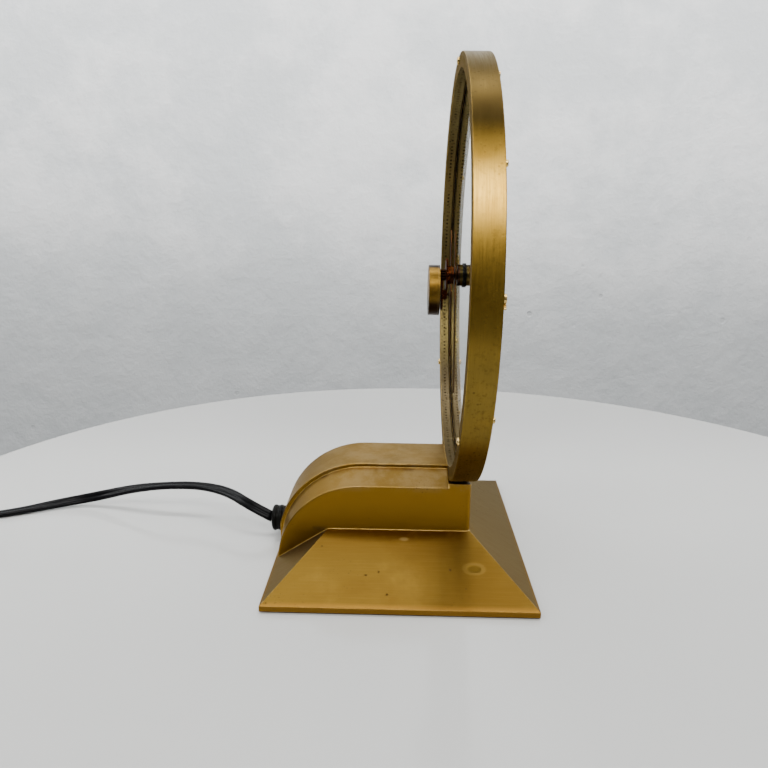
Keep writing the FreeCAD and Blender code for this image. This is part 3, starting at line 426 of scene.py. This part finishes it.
def base_gold():
    n = Nodes("aged_gold_base")
    # brush lines: level along the sides, down the fall of the front and back
    level_lines = n.noise(260, 5, n.stretched((11.0, 0.16, 11.0)), 0.7)
    fall_lines = n.noise(260, 5, n.stretched((11.0, 0.4, 0.4)), 0.7)
    facing = n.add("ShaderNodeNewGeometry").outputs["True Normal"]
    end_face = n.between(n.unsigned(n.axis("Y", facing)), 0.3, 0.45)
    chosen = n.add("ShaderNodeMix")
    n.feed(chosen.inputs["Factor"], end_face)
    n.feed(chosen.inputs[2], level_lines)
    n.feed(chosen.inputs[3], fall_lines)
    lines = chosen.outputs[0]
    cloud = n.noise(17, 6, roughness=0.62, distortion=0.5)
    stain = n.noise(46, 5, roughness=0.7)
    colour = n.mix(n.between(cloud, 0.36, 0.66), (0.085, 0.045, 0.006), (0.105, 0.06, 0.009))
    colour = n.mix(n.times(n.between(stain, 0.5, 0.78), 0.3), colour, (0.18, 0.11, 0.02))
    colour = n.mix(n.between(lines, 0.42, 0.7, 0.0, 0.17), colour, (0.2, 0.13, 0.03))
    # painted reflection: upright walls are tinted darker and browner, for the dim room they reflect
    upright = n.between(n.unsigned(n.axis("Z", facing)), 0.12, 0.02)
    side_face = n.between(n.unsigned(n.axis("X", facing)), 0.5, 0.8)
    colour = n.mix(n.times(upright, 0.9), colour, (0.27, 0.14, 0.012))
    # the ridge and shoulders are a paler gold, worn greyer on top
    sideways = n.unsigned(n.axis("X"))
    above = n.between(n.axis("Z"), SLOPE_TOP, SLOPE_TOP + 0.0035)
    on_block = n.between(sideways, BLOCK_HALF + 0.0008, BLOCK_HALF + 0.0001)
    above = n.most(above, n.times(n.between(n.axis("Y"), 0.03, 0.04), on_block))
    raised = n.times(above, n.rest_of(n.times(upright, side_face)))
    colour = n.mix(n.times(raised, 0.85), colour, (0.19, 0.108, 0.022))
    top = n.between(n.axis("Z"), 0.036, 0.042)
    worn = n.times(top, n.between(n.noise(70, 5, roughness=0.7), 0.4, 0.62))
    colour = n.mix(n.times(worn, 0.55), colour, (0.27, 0.185, 0.08))
    # painted reflection: the front and back slopes are tinted grey-brown, for what they reflect
    low = n.between(n.axis("Z"), SLOPE_TOP + 0.001, SLOPE_TOP - 0.001)
    beyond = n.between(sideways, BLOCK_HALF + 0.0001, BLOCK_HALF + 0.0008)
    beyond = n.most(beyond, n.between(n.axis("Y"), 0.0, -0.01))
    slope = n.times(n.times(end_face, low), beyond)
    colour = n.mix(n.times(slope, 0.8), colour, (0.12, 0.082, 0.034))
    # red copper showing on the bottom lip
    lip = n.between(n.axis("Z"), LIP_TOP + 0.0006, LIP_TOP - 0.0006)
    colour = n.mix(n.times(lip, 0.9), colour, (0.18, 0.09, 0.014))
    # pits, fine and scattered, thicker in some areas
    fine = n.cells(620)
    where = n.between(n.noise(28, 3), 0.5, 0.68)
    pits = n.times(n.between(fine, 0.2, 0.12), where)
    coarse = n.cells(150)
    specks = n.times(n.between(coarse, 0.07, 0.04), n.between(n.noise(60, 2), 0.56, 0.6))
    wobble = n.times(n.noise(900, 3), 0.0012)
    for x, y in BASE_SPOTS:
        spot = n.between(n.plus(n.distance((x, y, 0), "Z"), wobble), 0.0013, 0.0009)
        specks = n.most(specks, spot)
    dent_from = n.plus(n.distance(SIDE_DENT, "Z", 1.5), wobble)
    dent = n.times(n.between(dent_from, 0.0042, 0.0026), low)
    ring = n.minus(n.between(dent_from, 0.0064, 0.0052), dent, True)
    oval_from = n.plus(n.distance(SIDE_OVAL, "Z", 2.0), wobble)
    oval = n.times(n.between(oval_from, 0.0034, 0.0018), low)
    colour = n.mix(n.times(n.times(ring, low), 0.12), colour, (0.3, 0.2, 0.05))
    colour = n.mix(n.times(dent, 0.5), colour, (0.06, 0.036, 0.004))
    colour = n.mix(n.times(oval, 0.35), colour, (0.38, 0.28, 0.11))
    # painted shade: dark patches along the crease just under the top of the slopes
    crease = n.between(n.axis("Z"), SLOPE_TOP - 0.003, SLOPE_TOP - 0.0009)
    crease = n.times(crease, n.between(n.axis("Z"), SLOPE_TOP + 0.001, SLOPE_TOP - 0.0003))
    patch = n.times(crease, n.between(n.noise(95, 4), 0.52, 0.66))
    colour = n.mix(n.times(patch, 0.75), colour, (0.14, 0.08, 0.02))
    # painted shade at the foot of the ridge, in patches
    beside = n.between(sideways, RIDGE_HALF + 0.0045, RIDGE_HALF + 0.0005)
    beside = n.times(beside, n.between(sideways, RIDGE_HALF - 0.0004, RIDGE_HALF))
    ridge_foot_shade = n.times(n.times(beside, raised), n.between(n.noise(120, 5), 0.5, 0.64))
    colour = n.mix(n.times(ridge_foot_shade, 0.7), colour, (0.08, 0.045, 0.014))
    dark = n.most(n.times(pits, 0.75), n.times(specks, 0.85))
    colour = n.mix(dark, colour, (0.055, 0.03, 0.01))
    # rubbed edges, lightened partly for wear and partly as a painted highlight
    edge = n.edges(0.0011)
    rub_and_highlight = n.times(edge, n.between(n.noise(130, 4), 0.3, 0.6, 0.2, 0.65))
    rub_and_highlight = n.times(rub_and_highlight, n.between(lip, 0.0, 1.0, 1.0, 0.25))
    colour = n.mix(rub_and_highlight, colour, RUBBED_AND_HIGHLIT_GOLD)
    rough = n.plus(n.between(lines, 0.3, 0.7, 0.34, 0.44), n.times(dark, 0.3))
    rough = n.minus(rough, n.times(rub_and_highlight, 0.1))
    height = n.minus(n.times(lines, 0.25), dark)
    height = n.minus(height, n.times(dent, 1.5))
    n.set(
        Base_Color=colour,
        Metallic=1.0,
        Roughness=rough,
        Anisotropic=0.35,
        Specular_Tint=GOLD_SHEEN,
        Normal=n.bump(height, 0.35, 0.00012, n.rounded(0.0006)),
    )
    return n.material


# ------------------------------------------------------------------ gold of the hoop
SEAM = -0.0272
PIT_ROW = 0.0028  # how far each row of pits is from the seam
PITS_ROUND = 265
HOOP_INSIDE = 0.093


def hoop_gold():
    n = Nodes("spotted_gold_hoop")
    radius = n.distance(AXIS, "Y")
    height = n.axis("Z")
    inner = n.between(radius, HOOP_INSIDE + 0.0007, HOOP_INSIDE + 0.0001)
    low_half = n.between(height, 0.16, 0.08)
    cloud = n.noise(21, 6, roughness=0.65, distortion=0.6)
    # the outside, in bands by height: brown at the top, partly tarnish and partly painted dark
    # reflection; clean gold by the shoulder; a painted dark olive reflection at the hub's height; darker,
    # then paler, painted bands towards the foot; pitted lower down
    colour = n.mix(n.between(cloud, 0.35, 0.66), (0.36, 0.19, 0.02), (0.5, 0.3, 0.045))
    # partly tarnish, partly painted dark reflection: the top is darkened
    top = n.between(height, 0.178, 0.196)
    colour = n.mix(n.times(top, 0.94), colour, (0.026, 0.017, 0.005))
    # painted reflection of the dim room: a dark olive band at the hub's height
    olive = n.times(n.between(height, 0.136, 0.106), n.between(cloud, 0.3, 0.6, 0.75, 1.0))
    colour = n.mix(n.times(olive, 0.9), colour, (0.13, 0.088, 0.018))
    # painted reflection: a darker band, then a paler one, towards the foot
    colour = n.mix(n.between(height, 0.088, 0.062), colour, (0.15, 0.095, 0.014))
    colour = n.mix(n.between(height, 0.07, 0.054), colour, (0.25, 0.165, 0.035))
    # the inside: dark olive above, paler khaki below
    khaki = n.mix(low_half, (0.17, 0.132, 0.05), (0.15, 0.118, 0.045))
    khaki = n.mix(n.times(n.between(cloud, 0.42, 0.62), 0.5), khaki, (0.10, 0.07, 0.024))
    khaki = n.mix(n.between(height, 0.088, 0.07), khaki, (0.085, 0.066, 0.038))
    colour = n.mix(n.times(inner, 0.92), colour, khaki)
    mottle = n.noise(420, 4, roughness=0.7)
    spotted = n.between(height, 0.125, 0.1, 0.45, 1.0)
    mottled = n.times(n.between(mottle, 0.5, 0.68), n.times(spotted, 0.4))
    colour = n.mix(mottled, colour, (0.05, 0.032, 0.006))
    fine = n.cells(480)
    coarse = n.cells(400)
    crowd = n.noise(33, 3)
    outside = n.times(spotted, n.between(crowd, 0.4, 0.6, 0.1, 1.0))
    pits = n.times(n.between(fine, 0.3, 0.14), outside)
    inside = n.times(inner, n.between(crowd, 0.3, 0.5, 0.35, 1.0))
    blots_and_slot_shade = n.times(n.between(coarse, 0.24, 0.14), n.times(inside, 0.5))
    # a row of small pits round the middle of each half
    from_seam = n.unsigned(n.minus(n.axis("Y"), SEAM))
    turn = n.maths("ARCTAN2", n.axis("X"), n.minus(height, AXIS.z))
    pit = n.plus(n.times(turn, PITS_ROUND / FULL_TURN), n.times(crowd, 0.8))
    along = n.times(n.minus(n.maths("FRACT", pit), 0.5), FULL_TURN * HOOP_INSIDE / PITS_ROUND)
    across = n.minus(from_seam, PIT_ROW)
    apart = n.maths("POWER", n.plus(n.times(along, along), n.times(across, across)), 0.5)
    row = n.times(n.between(apart, 0.0008, 0.0004), n.between(n.noise(260, 2), 0.38, 0.58, 0.1, 0.9))
    blots_and_slot_shade = n.most(blots_and_slot_shade, n.times(row, inner))
    # painted shade: a black stripe inside the hoop for the shadowed slot that the glass turns in
    slot_shade = n.between(from_seam, 0.0008, 0.0005)
    blots_and_slot_shade = n.most(blots_and_slot_shade, n.times(slot_shade, inner))
    dark = n.most(n.times(pits, 0.6), n.times(blots_and_slot_shade, 0.93))
    colour = n.mix(dark, colour, (0.012, 0.008, 0.004))
    # rubbed scratches near the foot of the hoop
    scratch = n.noise(900, 2, n.stretched((1.0, 0.05, 1.0), (0.5, 0, 0)), 0.6)
    scratched = n.times(n.between(scratch, 0.66, 0.74), n.between(height, 0.075, 0.05))
    colour = n.mix(n.times(scratched, 0.4), colour, (0.5, 0.4, 0.22))
    # rubbed edges, lightened partly for wear and partly as a painted highlight
    edge = n.edges(0.0008)
    rub_and_highlight = n.times(edge, n.between(n.noise(140, 4), 0.3, 0.6, 0.08, 0.45))
    colour = n.mix(rub_and_highlight, colour, RUBBED_AND_HIGHLIT_GOLD)
    # brushed round the rim
    turning = n.noise(300, 4, n.stretched((0.25, 7.0, 0.25)), 0.65)
    colour = n.mix(n.between(turning, 0.35, 0.7, 0.0, 0.16), colour, (0.06, 0.035, 0.01))
    rough = n.plus(n.between(turning, 0.3, 0.7, 0.3, 0.4), n.times(dark, 0.35))
    rough = n.plus(rough, n.times(inner, 0.12))
    # the flat back and front rims are dull and brown
    facing = n.add("ShaderNodeNewGeometry").outputs["True Normal"]
    rim = n.between(n.unsigned(n.axis("Y", facing)), 0.8, 0.95)
    colour = n.mix(n.times(rim, 0.8), colour, (0.085, 0.05, 0.01))
    rough = n.plus(rough, n.times(rim, 0.3))
    relief = n.minus(n.times(turning, 0.2), dark)
    n.set(
        Base_Color=colour,
        Metallic=1.0,
        Roughness=rough,
        Anisotropic=0.3,
        Specular_Tint=GOLD_SHEEN,
        Normal=n.bump(relief, 0.4, 0.00012, n.rounded(0.0004)),
    )
    return n.material


# ------------------------------------------------------------------ small metal parts


def metal(name, colour, dull, rough=0.32, spots=0.4, scale=240, edge=0.0004, shine=1.0):
    """Plain metal with tarnish, fine lines and rubbed edges that also carry a painted highlight."""
    n = Nodes(name)
    cloud = n.noise(scale, 5, roughness=0.65)
    tint = n.mix(n.between(cloud, 0.38, 0.66), colour, dull)
    dots = n.between(n.cells(scale * 5), 0.22, 0.1)
    dots = n.times(n.times(dots, n.between(n.noise(scale * 0.6, 2), 0.5, 0.65)), spots)
    tint = n.mix(dots, tint, tuple(c * 0.12 for c in dull))
    # edges lightened partly for wear and partly as a painted highlight, more where the metal shines
    bright = tuple(min(1.0, c * 1.4) for c in colour)
    tint = n.mix(n.times(n.edges(edge), 0.5 * shine), tint, bright)
    lines = n.noise(1400, 3, n.stretched((1.0, 0.08, 1.0)), 0.6)
    n.set(
        Base_Color=tint,
        Metallic=1.0,
        Roughness=n.between(n.plus(lines, dots), 0.3, 0.9, rough - 0.04, rough + 0.12),
        Specular_Tint=(shine, shine * 0.9, shine * 0.75, 1),
        Normal=n.bump(n.minus(lines, dots), 0.2, 0.00004, n.rounded(edge * 0.7)),
    )
    return n.material


WEIGHT_TOP = 0.1375


def weight_gold():
    """The hanging can: satin gold that turns much darker below a wavering line towards its bottom."""
    n = Nodes("weight_gold")
    drop = n.axis("Z")
    wavering = n.plus(drop, n.times(n.noise(160, 4), 0.003))
    dark = n.between(wavering, WEIGHT_TOP - 0.01, WEIGHT_TOP - 0.0155)
    cloud = n.noise(120, 5, roughness=0.7)
    tint = n.mix(n.between(cloud, 0.4, 0.62), (0.22, 0.125, 0.02), (0.15, 0.08, 0.012))
    tint = n.mix(n.times(dark, 0.95), tint, (0.018, 0.01, 0.005))
    tint = n.mix(n.between(drop, WEIGHT_TOP - 0.0006, WEIGHT_TOP), tint, (0.02, 0.012, 0.006))
    dots = n.times(n.between(n.cells(900), 0.24, 0.1), n.between(cloud, 0.5, 0.64))
    tint = n.mix(n.times(dots, 0.7), tint, (0.03, 0.02, 0.01))
    tint = n.mix(n.times(n.edges(0.0005), 0.2), tint, (0.3, 0.22, 0.1))
    lines = n.noise(900, 3, n.stretched((1.0, 0.1, 1.0)), 0.6)
    n.set(
        Base_Color=tint,
        Metallic=1.0,
        Roughness=n.between(lines, 0.3, 0.7, 0.36, 0.48),
        Normal=n.bump(n.minus(lines, dots), 0.25, 0.00005, n.rounded(0.0004)),
    )
    return n.material


CLEAR_RADIUS = 0.0884  # of the glass, out to its black ring of painted shade


def clear_glass():
    """Polished glass with a few dust specks, and a black ring of painted shade where its edge hides in
    the hoop.
    """
    n = Nodes("clear_glass")
    # painted shade: the glass is black and opaque beyond CLEAR_RADIUS, for the shadowed slot its edge
    # sits in
    painted = n.between(n.distance(AXIS, "Y"), CLEAR_RADIUS, CLEAR_RADIUS + 0.0004)
    dust = n.between(n.cells(210), 0.05, 0.02)
    dust = n.times(dust, n.between(n.noise(24, 2), 0.5, 0.62))
    smear = n.noise(30, 5, n.stretched((1.0, 1.0, 2.4), (0, 0.6, 0)), 0.7)
    tint = n.mix(painted, (0.97, 0.99, 0.98), (0.012, 0.012, 0.012))
    n.set(
        Base_Color=n.mix(n.times(dust, 0.5), tint, (0.7, 0.7, 0.68)),
        Transmission_Weight=n.rest_of(painted),
        IOR=1.46,
        Roughness=n.plus(n.between(smear, 0.5, 0.8, 0.0, 0.06), n.times(painted, 0.3)),
    )
    return n.material


def dull(name, colour, other, rough=0.5, scale=160, depth=0.00006, gloss=0.5):
    """Rubber, plastic, tape or paint: mottled, slightly grained, a little paler on its edges."""
    n = Nodes(name)
    cloud = n.noise(scale, 5, roughness=0.6)
    tint = n.mix(n.between(cloud, 0.38, 0.64), colour, other)
    pale = tuple(min(1.0, c * 1.5 + 0.01) for c in colour)
    tint = n.mix(n.times(n.edges(0.0004), 0.25), tint, pale)
    grain = n.noise(scale * 11, 3, roughness=0.6)
    n.set(
        Base_Color=tint,
        Roughness=n.between(cloud, 0.3, 0.7, rough - 0.06, rough + 0.08),
        Specular_IOR_Level=gloss,
        Normal=n.bump(grain, 0.3, depth, n.rounded(0.0003)),
    )
    return n.material


def cord_black():
    """Glossy black flex with a faint fine grain, dust and the odd scuff."""
    n = Nodes("cord_black")
    dust = n.between(n.noise(210, 6, roughness=0.75), 0.56, 0.8)
    scuff = n.between(n.noise(60, 4), 0.55, 0.72)
    tint = n.mix(n.times(dust, 0.2), (0.003, 0.003, 0.0035), (0.04, 0.038, 0.036))
    n.set(
        Base_Color=tint,
        Roughness=n.plus(n.times(scuff, 0.12), 0.26),
        Specular_IOR_Level=0.08,
        Normal=n.bump(n.noise(900, 3), 0.12, 0.00005),
    )
    return n.material


def laminated():
    """A core of stamped plates: fine parting lines one above another."""
    n = Nodes("oiled_laminations")
    wave = n.add("ShaderNodeTexWave", wave_type="BANDS", bands_direction="Y")
    n.give(wave, Vector=n.place, Scale=620.0, Distortion=0.4, Detail=2.0)
    plates = wave.outputs["Fac"]
    oil = n.noise(140, 4)
    tint = n.mix(n.between(plates, 0.1, 0.4), (0.06, 0.055, 0.05), (0.24, 0.235, 0.23))
    tint = n.mix(n.times(n.between(oil, 0.5, 0.7), 0.5), tint, (0.17, 0.1, 0.05))
    n.set(Base_Color=tint, Metallic=1.0, Roughness=0.42, Normal=n.bump(plates, 0.4, 0.0001))
    return n.material


def wound_tape():
    """Varnished cloth tape, wound round the coil in overlapping turns."""
    n = Nodes("varnished_tape")
    wave = n.add("ShaderNodeTexWave", wave_type="BANDS", bands_direction="X", wave_profile="SAW")
    n.give(wave, Vector=n.place, Scale=95.0, Distortion=0.6, Detail=1.5)
    weave = n.noise(1500, 3, n.stretched((1.0, 1.0, 0.3)), 0.6)
    tint = n.mix(n.between(wave.outputs["Fac"], 0.05, 0.35), (0.13, 0.05, 0.02), (0.36, 0.16, 0.06))
    relief = n.plus(wave.outputs["Fac"], n.times(weave, 0.4))
    n.set(Base_Color=tint, Roughness=0.38, Coat_Weight=0.3, Normal=n.bump(relief, 0.5, 0.0003))
    return n.material


def plate_grey():
    """The cover under the base: zinc plate with rolling marks and dull patches."""
    n = Nodes("cover_plate")
    roll = n.noise(300, 4, n.stretched((0.15, 4.0, 1.0)), 0.6)
    cloud = n.noise(34, 5, roughness=0.7)
    tint = n.mix(n.between(cloud, 0.38, 0.66), (0.42, 0.42, 0.41), (0.27, 0.265, 0.25))
    tint = n.mix(n.times(n.edges(0.0005), 0.6), tint, (0.7, 0.7, 0.69))
    n.set(
        Base_Color=tint,
        Metallic=1.0,
        Roughness=n.between(roll, 0.3, 0.7, 0.38, 0.56),
        Normal=n.bump(roll, 0.25, 0.00005, n.rounded(0.0003)),
    )
    return n.material


HOOP = hoop_gold()
BASE = base_gold()
MARK = metal("mark_gold", (0.72, 0.52, 0.2), (0.5, 0.33, 0.1), 0.24, 0.3)
BRASS = metal("train_brass", (0.075, 0.018, 0.005), (0.03, 0.008, 0.003), 0.36, 0.5, shine=0.35)
OLIVE = metal("hub_collar", (0.075, 0.056, 0.016), (0.035, 0.026, 0.009), 0.36, 0.5, shine=0.4)
HAND = metal("hand_gold", (0.07, 0.03, 0.009), (0.03, 0.012, 0.004), 0.4, 0.5, 150, shine=0.3)
DARK = metal("dark_steel", (0.04, 0.018, 0.01), (0.018, 0.008, 0.005), 0.38, 0.5, shine=0.35)
BLACKED = metal("blacked_rim", (0.02, 0.018, 0.016), (0.012, 0.01, 0.008), 0.5, 0.3, shine=0.4)
STEEL = metal("bright_steel", (0.55, 0.55, 0.53), (0.36, 0.35, 0.33), 0.3, 0.5, 130)
SLUG = metal("cast_lead", (0.26, 0.26, 0.28), (0.17, 0.17, 0.18), 0.5, 0.5, 200)
BRONZE = metal("oiled_bronze", (0.45, 0.27, 0.12), (0.28, 0.15, 0.06), 0.36, 0.6, 300)
PIN = metal("pin_brass", (0.78, 0.62, 0.3), (0.6, 0.45, 0.2), 0.24, 0.3, 120)
RUBBER = dull("black_rubber", (0.003, 0.003, 0.0025), (0.006, 0.006, 0.005), 0.36, 150, gloss=0.06)
FOOT = dull("foot_rubber", (0.03, 0.03, 0.03), (0.055, 0.052, 0.05), 0.62, 150)
NYLON = dull("nylon", (0.75, 0.72, 0.62), (0.62, 0.58, 0.47), 0.45, 120)
PLUG = dull("plug_black", (0.005, 0.005, 0.005), (0.008, 0.008, 0.0075), 0.3, 190, 0.00004, gloss=0.18)

finish_with(BASE, "base_shell")
finish_with(HOOP, "ring_rear_cup", "ring_front_bezel")
finish_with(MARK, "numeral_12", "numeral_3", "numeral_6", "numeral_9", "hour_studs", "guide_screws")
finish_with(HAND, "minute_hand", "hour_hand")
finish_with(BRASS, "hour_wheel", "idler_wheel", "drive_gear")
finish_with(OLIVE, "hub_collar")
finish_with(BLACKED, "ring_gear")
finish_with(weight_gold(), "weight_can", "weight_plate", "hub_cap_nut")
finish_with(DARK, "minute_arbor", "centre_pinion", "arbor_clip", "idler_stud")
finish_with(STEEL, "cover_screws", "ring_mount_screws", "bracket_screws", "motor_bracket", "drive_shaft")
finish_with(STEEL, "gearcase_can", "gearcase_front_plate", "rotor_housing")
finish_with(laminated(), "motor_core")
finish_with(SLUG, "weight_slug")
finish_with(plate_grey(), "bottom_cover", "ring_mount_pads")
finish_with(clear_glass(), "glass_disc")
finish_with(FOOT, "foot_pads")
finish_with(RUBBER, "grommet_beads", "cord_grommet", "hub_rear_washer", "hub_front_washer")
finish_with(NYLON, "guide_bushes", "coil_bobbin")
finish_with(BRONZE, "output_bush")
finish_with(wound_tape(), "coil_winding")
LEAD = cord_black()
finish_with(LEAD, "mains_lead", "cord_tube", "cord_coil", "cord_inner_end", "coil_leads", "splice_caps")
finish_with(PLUG, "plug_body")
finish_with(PIN, "plug_pins")

# ------------------------------------------------------------------ stage and light

TABLE_CENTRE = (0.0, -0.024)
TABLE_RADIUS = 0.31
TABLE_THICK = 0.02
WALL_X = 0.5
WALL_HALF = 3
WALL_LOW = -1.0
WALL_HIGH = 2.2
CLOCK = (0, 0, 0.1)  # what the lights point at


def round_table():
    """A pale round table top that the clock stands on."""
    shape = bmesh.new()
    bmesh.ops.create_cone(
        shape, cap_ends=True, segments=256, radius1=TABLE_RADIUS, radius2=TABLE_RADIUS, depth=TABLE_THICK
    )
    middle = Vector((*TABLE_CENTRE, -TABLE_THICK / 2))
    bmesh.ops.translate(shape, verts=shape.verts, vec=middle)
    rim = [e for e in shape.edges if all(v.co.z > -1e-6 for v in e.verts)]
    bmesh.ops.bevel(shape, geom=rim, offset=0.003, segments=5, affect="EDGES", profile=0.5)
    mesh = bpy.data.meshes.new("table")
    shape.to_mesh(mesh)
    shape.free()
    made = add_object("table", mesh)
    return made


def stage_mesh(name, corners):
    mesh = bpy.data.meshes.new(name)
    mesh.from_pydata(corners, [], [tuple(range(len(corners)))])
    made = add_object(name, mesh)
    return made


def table_paint():
    n = Nodes("table_paint")
    near = n.mix(n.noise(7, 4), (0.5, 0.503, 0.49), (0.54, 0.54, 0.525))
    # painted shade: the table top's colour darkens away from the viewer, towards the wall
    n.set(
        Base_Color=n.mix(n.between(n.axis("X"), 0.02, 0.24), near, (0.4, 0.4, 0.39)),
        Roughness=n.between(n.noise(40, 5), 0.3, 0.7, 0.1, 0.16),
        Specular_IOR_Level=0.3,
    )
    return n.material


def wall_paint():
    n = Nodes("wall_paint")
    lumps = n.noise(9, 8, roughness=0.65)
    paint = n.mix(n.between(lumps, 0.38, 0.62), (0.64, 0.665, 0.675), (0.79, 0.8, 0.8))
    chips = n.times(n.between(n.cells(24), 0.09, 0.05), n.between(n.noise(5, 3), 0.5, 0.62))
    paint = n.mix(n.times(chips, 0.5), paint, (0.4, 0.41, 0.41))
    scrape = n.noise(26, 5, n.stretched((1.0, 0.22, 1.0), (0.7, 0, 0)), 0.7)
    paint = n.mix(n.times(n.between(scrape, 0.62, 0.72), 0.35), paint, (0.5, 0.52, 0.53))
    # painted shade: the wall darkens towards its foot
    foot = n.between(n.axis("Z"), 0.22, -0.02)
    n.set(
        Base_Color=n.mix(n.times(foot, 0.75), paint, (0.40, 0.415, 0.42)),
        Roughness=0.85,
        Normal=n.bump(n.minus(lumps, n.times(chips, 0.1)), 0.45, 0.012),
    )
    return n.material


table = round_table()
corners = [(-WALL_HALF, WALL_LOW), (WALL_HALF, WALL_LOW), (WALL_HALF, WALL_HIGH), (-WALL_HALF, WALL_HIGH)]
wall = stage_mesh("wall", [(WALL_X, y, z) for y, z in corners])
table.data.materials.append(table_paint())
wall.data.materials.append(wall_paint())


def area(name, place, aim, wide, high, power, colour=(1, 1, 1)):
    data = bpy.data.lights.new(name, "AREA")
    data.shape = "RECTANGLE"
    data.size = wide
    data.size_y = high
    data.energy = power
    data.color = colour
    light = add_object(name, data)
    light.visible_camera = False
    light.location = place
    light.rotation_mode = "QUATERNION"
    light.rotation_quaternion = (Vector(aim) - Vector(place)).to_track_quat("-Z", "Y")


def sky():
    """A room whose ceiling is bright and whose far end, beyond the viewer, is dim."""
    world = bpy.data.worlds.new("world")
    bpy.context.scene.world = world
    world.use_nodes = True
    tree = world.node_tree
    direction = tree.nodes.new("ShaderNodeTexCoord")
    split = tree.nodes.new("ShaderNodeSeparateXYZ")
    rise = tree.nodes.new("ShaderNodeMapRange")
    rise.interpolation_type = "SMOOTHSTEP"
    for name, value in (("From Min", 0.1), ("From Max", 0.75), ("To Min", 0.1), ("To Max", 0.36)):
        rise.inputs[name].default_value = value
    background = tree.nodes["Background"]
    background.inputs["Color"].default_value = (0.92, 0.96, 1.0, 1)
    tree.links.new(direction.outputs["Generated"], split.inputs[0])
    tree.links.new(split.outputs["Z"], rise.inputs["Value"])
    tree.links.new(rise.outputs[0], background.inputs["Strength"])


# the main light comes down over the viewer, so that the hoop shines two thirds of the way up
area("window", (-0.92, -0.05, 1.02), CLOCK, wide=1.3, high=0.42, power=17, colour=(1.0, 0.985, 0.96))
area("ceiling", (0.0, 0.0, 1.5), CLOCK, wide=1.4, high=1.4, power=4)
area("side", (-0.1, 1.2, 0.9), CLOCK, wide=0.8, high=0.8, power=5, colour=(0.95, 0.98, 1.0))
area("wall_wash", (0.12, 0.0, 0.66), (WALL_X, 0, 0.15), wide=2.4, high=0.2, power=16)
sky()
